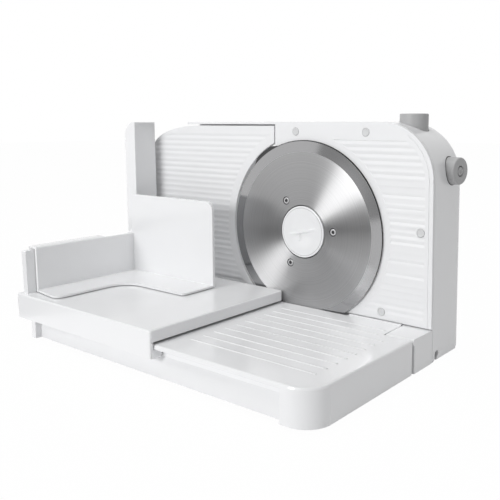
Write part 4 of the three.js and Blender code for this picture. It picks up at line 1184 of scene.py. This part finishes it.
# %% Painted shadow round the blade
RIM_SHADOW_STEPS = 192
RIM_SHADOW_INNER = 83.2 * MM
RIM_SHADOW_OUTER = 85.3 * MM
RIM_SHADOW_FRONT = 2.3 * MM
RIM_SHADOW_BACK = 2.9 * MM
RIM_SHADOW_SHIFT = Vector((-0.7, 0.45)) * MM
RIM_SHADOW_ENDS = (math.radians(-52), math.radians(140))
RIM_SHADOW_HIGH = 3.3 * MM
RIM_SHADOW_HIGH_ENDS = (math.radians(111), math.radians(137))
RIM_SHADOW_HIGH_RAMP = math.radians(8)


def rim_shadow_reach(angle):
    """The outer radius of the painted shadow crescent at an angle."""
    start, end = RIM_SHADOW_HIGH_ENDS
    rise = eased((angle - start) / RIM_SHADOW_HIGH_RAMP) * eased((end - angle) / RIM_SHADOW_HIGH_RAMP)
    shift = RIM_SHADOW_SHIFT.x * math.cos(angle) + RIM_SHADOW_SHIFT.y * math.sin(angle)
    return RIM_SHADOW_OUTER + shift + RIM_SHADOW_HIGH * rise


def swept(name, rows):
    """A closed bar through rows of points, each row one cross-section."""
    bm = bmesh.new()
    rings = [[bm.verts.new(point) for point in row] for row in rows]
    for first, second in zip(rings, rings[1:]):
        for i in range(len(first)):
            j = (i + 1) % len(first)
            bm.faces.new((first[i], first[j], second[j], second[i]))
    bm.faces.new(rings[0])
    bm.faces.new(rings[-1])
    bmesh.ops.recalc_face_normals(bm, faces=bm.faces)
    return smooth(as_object(name, bm))


def make_rim_shadow():
    front, back = AXIS.y + RIM_SHADOW_FRONT, AXIS.y + RIM_SHADOW_BACK
    start, end = RIM_SHADOW_ENDS
    rows = []
    for step in range(RIM_SHADOW_STEPS + 1):
        angle = start + (end - start) * step / RIM_SHADOW_STEPS
        outer = rim_shadow_reach(angle)
        section = ((RIM_SHADOW_INNER, front), (outer, front), (outer, back), (RIM_SHADOW_INNER, back))
        rows.append([placed("y", AXIS, radius, along, angle) for radius, along in section])
    # The dark finish of the crescent is painted shadow of the gap behind the rim.
    add_piece(swept("blade_rim_shadow", rows), "dark_plastic", BODY_OF["front_plate"])


make_rim_shadow()

# %% [markdown]
# ## Sill, fill and painted shade in the notch
# A sill in two steps closes the narrow gap behind the tray's right half. A fill brings the wall under
# the tray's front lip forward and down, below the reach of the carriage's hook. Its section is in
# millimetres behind the tray's front and above the ground. A dark box in the notch of the housing is
# painted shade. All are plain bars, so a box with broken edges and one swept section are enough.

# %% Sill, fill and notch shade
BOX_EDGE = 0.2 * MM
TRAY_TOP = 32.5 * MM
SILL_LEFT = AXIS.x + 52 * MM
SILL_RIGHT = AXIS.x + 105.5 * MM
SILL_FRONT = AXIS.y - 1.7 * MM
SILL_STEP = SILL_FRONT + 2.5 * MM
SILL_BACK = SILL_FRONT + 4 * MM
SILL_FOOT = TRAY_TOP - 3 * MM
SILL_TOP = TRAY_TOP - 0.02 * MM
SILL_BACK_TOP = TRAY_TOP + 0.85 * MM
FILL_ENDS = (AXIS.x - 192.5 * MM, AXIS.x + 104 * MM)
FILL_SECTION = ((9.1, 3), (5.9, 3), (5.9, 13), (8.9, 20.8), (9.1, 20.8))
NOTCH_SHADE_LOW = Vector((-6, 9.5, 4)) * MM
NOTCH_SHADE_HIGH = Vector((-3.5, 19.5, 15)) * MM


def make_box(name, low, high, slot, body):
    bm = bmesh.new()
    bmesh.ops.create_cube(bm, size=1)
    bmesh.ops.scale(bm, vec=high - low, verts=bm.verts)
    bmesh.ops.translate(bm, vec=(low + high) / 2, verts=bm.verts)
    bmesh.ops.bevel(bm, geom=bm.edges, offset=BOX_EDGE, segments=2, profile=0.5, affect="EDGES")
    add_piece(smooth(as_object(name, bm)), slot, body)


def make_sill(name, front, top):
    low = Vector((SILL_LEFT, front, SILL_FOOT))
    high = Vector((SILL_RIGHT, SILL_BACK, top))
    make_box(name, low, high, "white_plastic", BODY_OF["tray"])


def make_front_fill():
    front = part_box("tray")[0].y
    rows = [[(x, front + y * MM, z * MM) for y, z in FILL_SECTION] for x in FILL_ENDS]
    add_piece(swept("tray_front_fill", rows), "white_plastic", BODY_OF["tray"])


def make_notch_shade():
    notch = Vector((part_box("motor_housing")[1].x, AXIS.y, 0))
    low, high = notch + NOTCH_SHADE_LOW, notch + NOTCH_SHADE_HIGH
    # The dark box is painted shade inside the notch.
    make_box("cord_notch_shade", low, high, "dark_plastic", BODY_OF["motor_housing"])


make_sill("tray_sill", SILL_FRONT, SILL_TOP)
make_sill("tray_sill_back", SILL_STEP, SILL_BACK_TOP)
make_front_fill()
make_notch_shade()

# %% [markdown]
# ## The rest
# Every node gets the finish of its slot. Those that have no piece in their place, such as the drive
# behind the blade, show their own solid with it.

# %% Finish the rest
for name, node in frame["nodes"].items():
    node.data.materials.clear()
    node.data.materials.append(FINISH[SLOT_OF[name]])
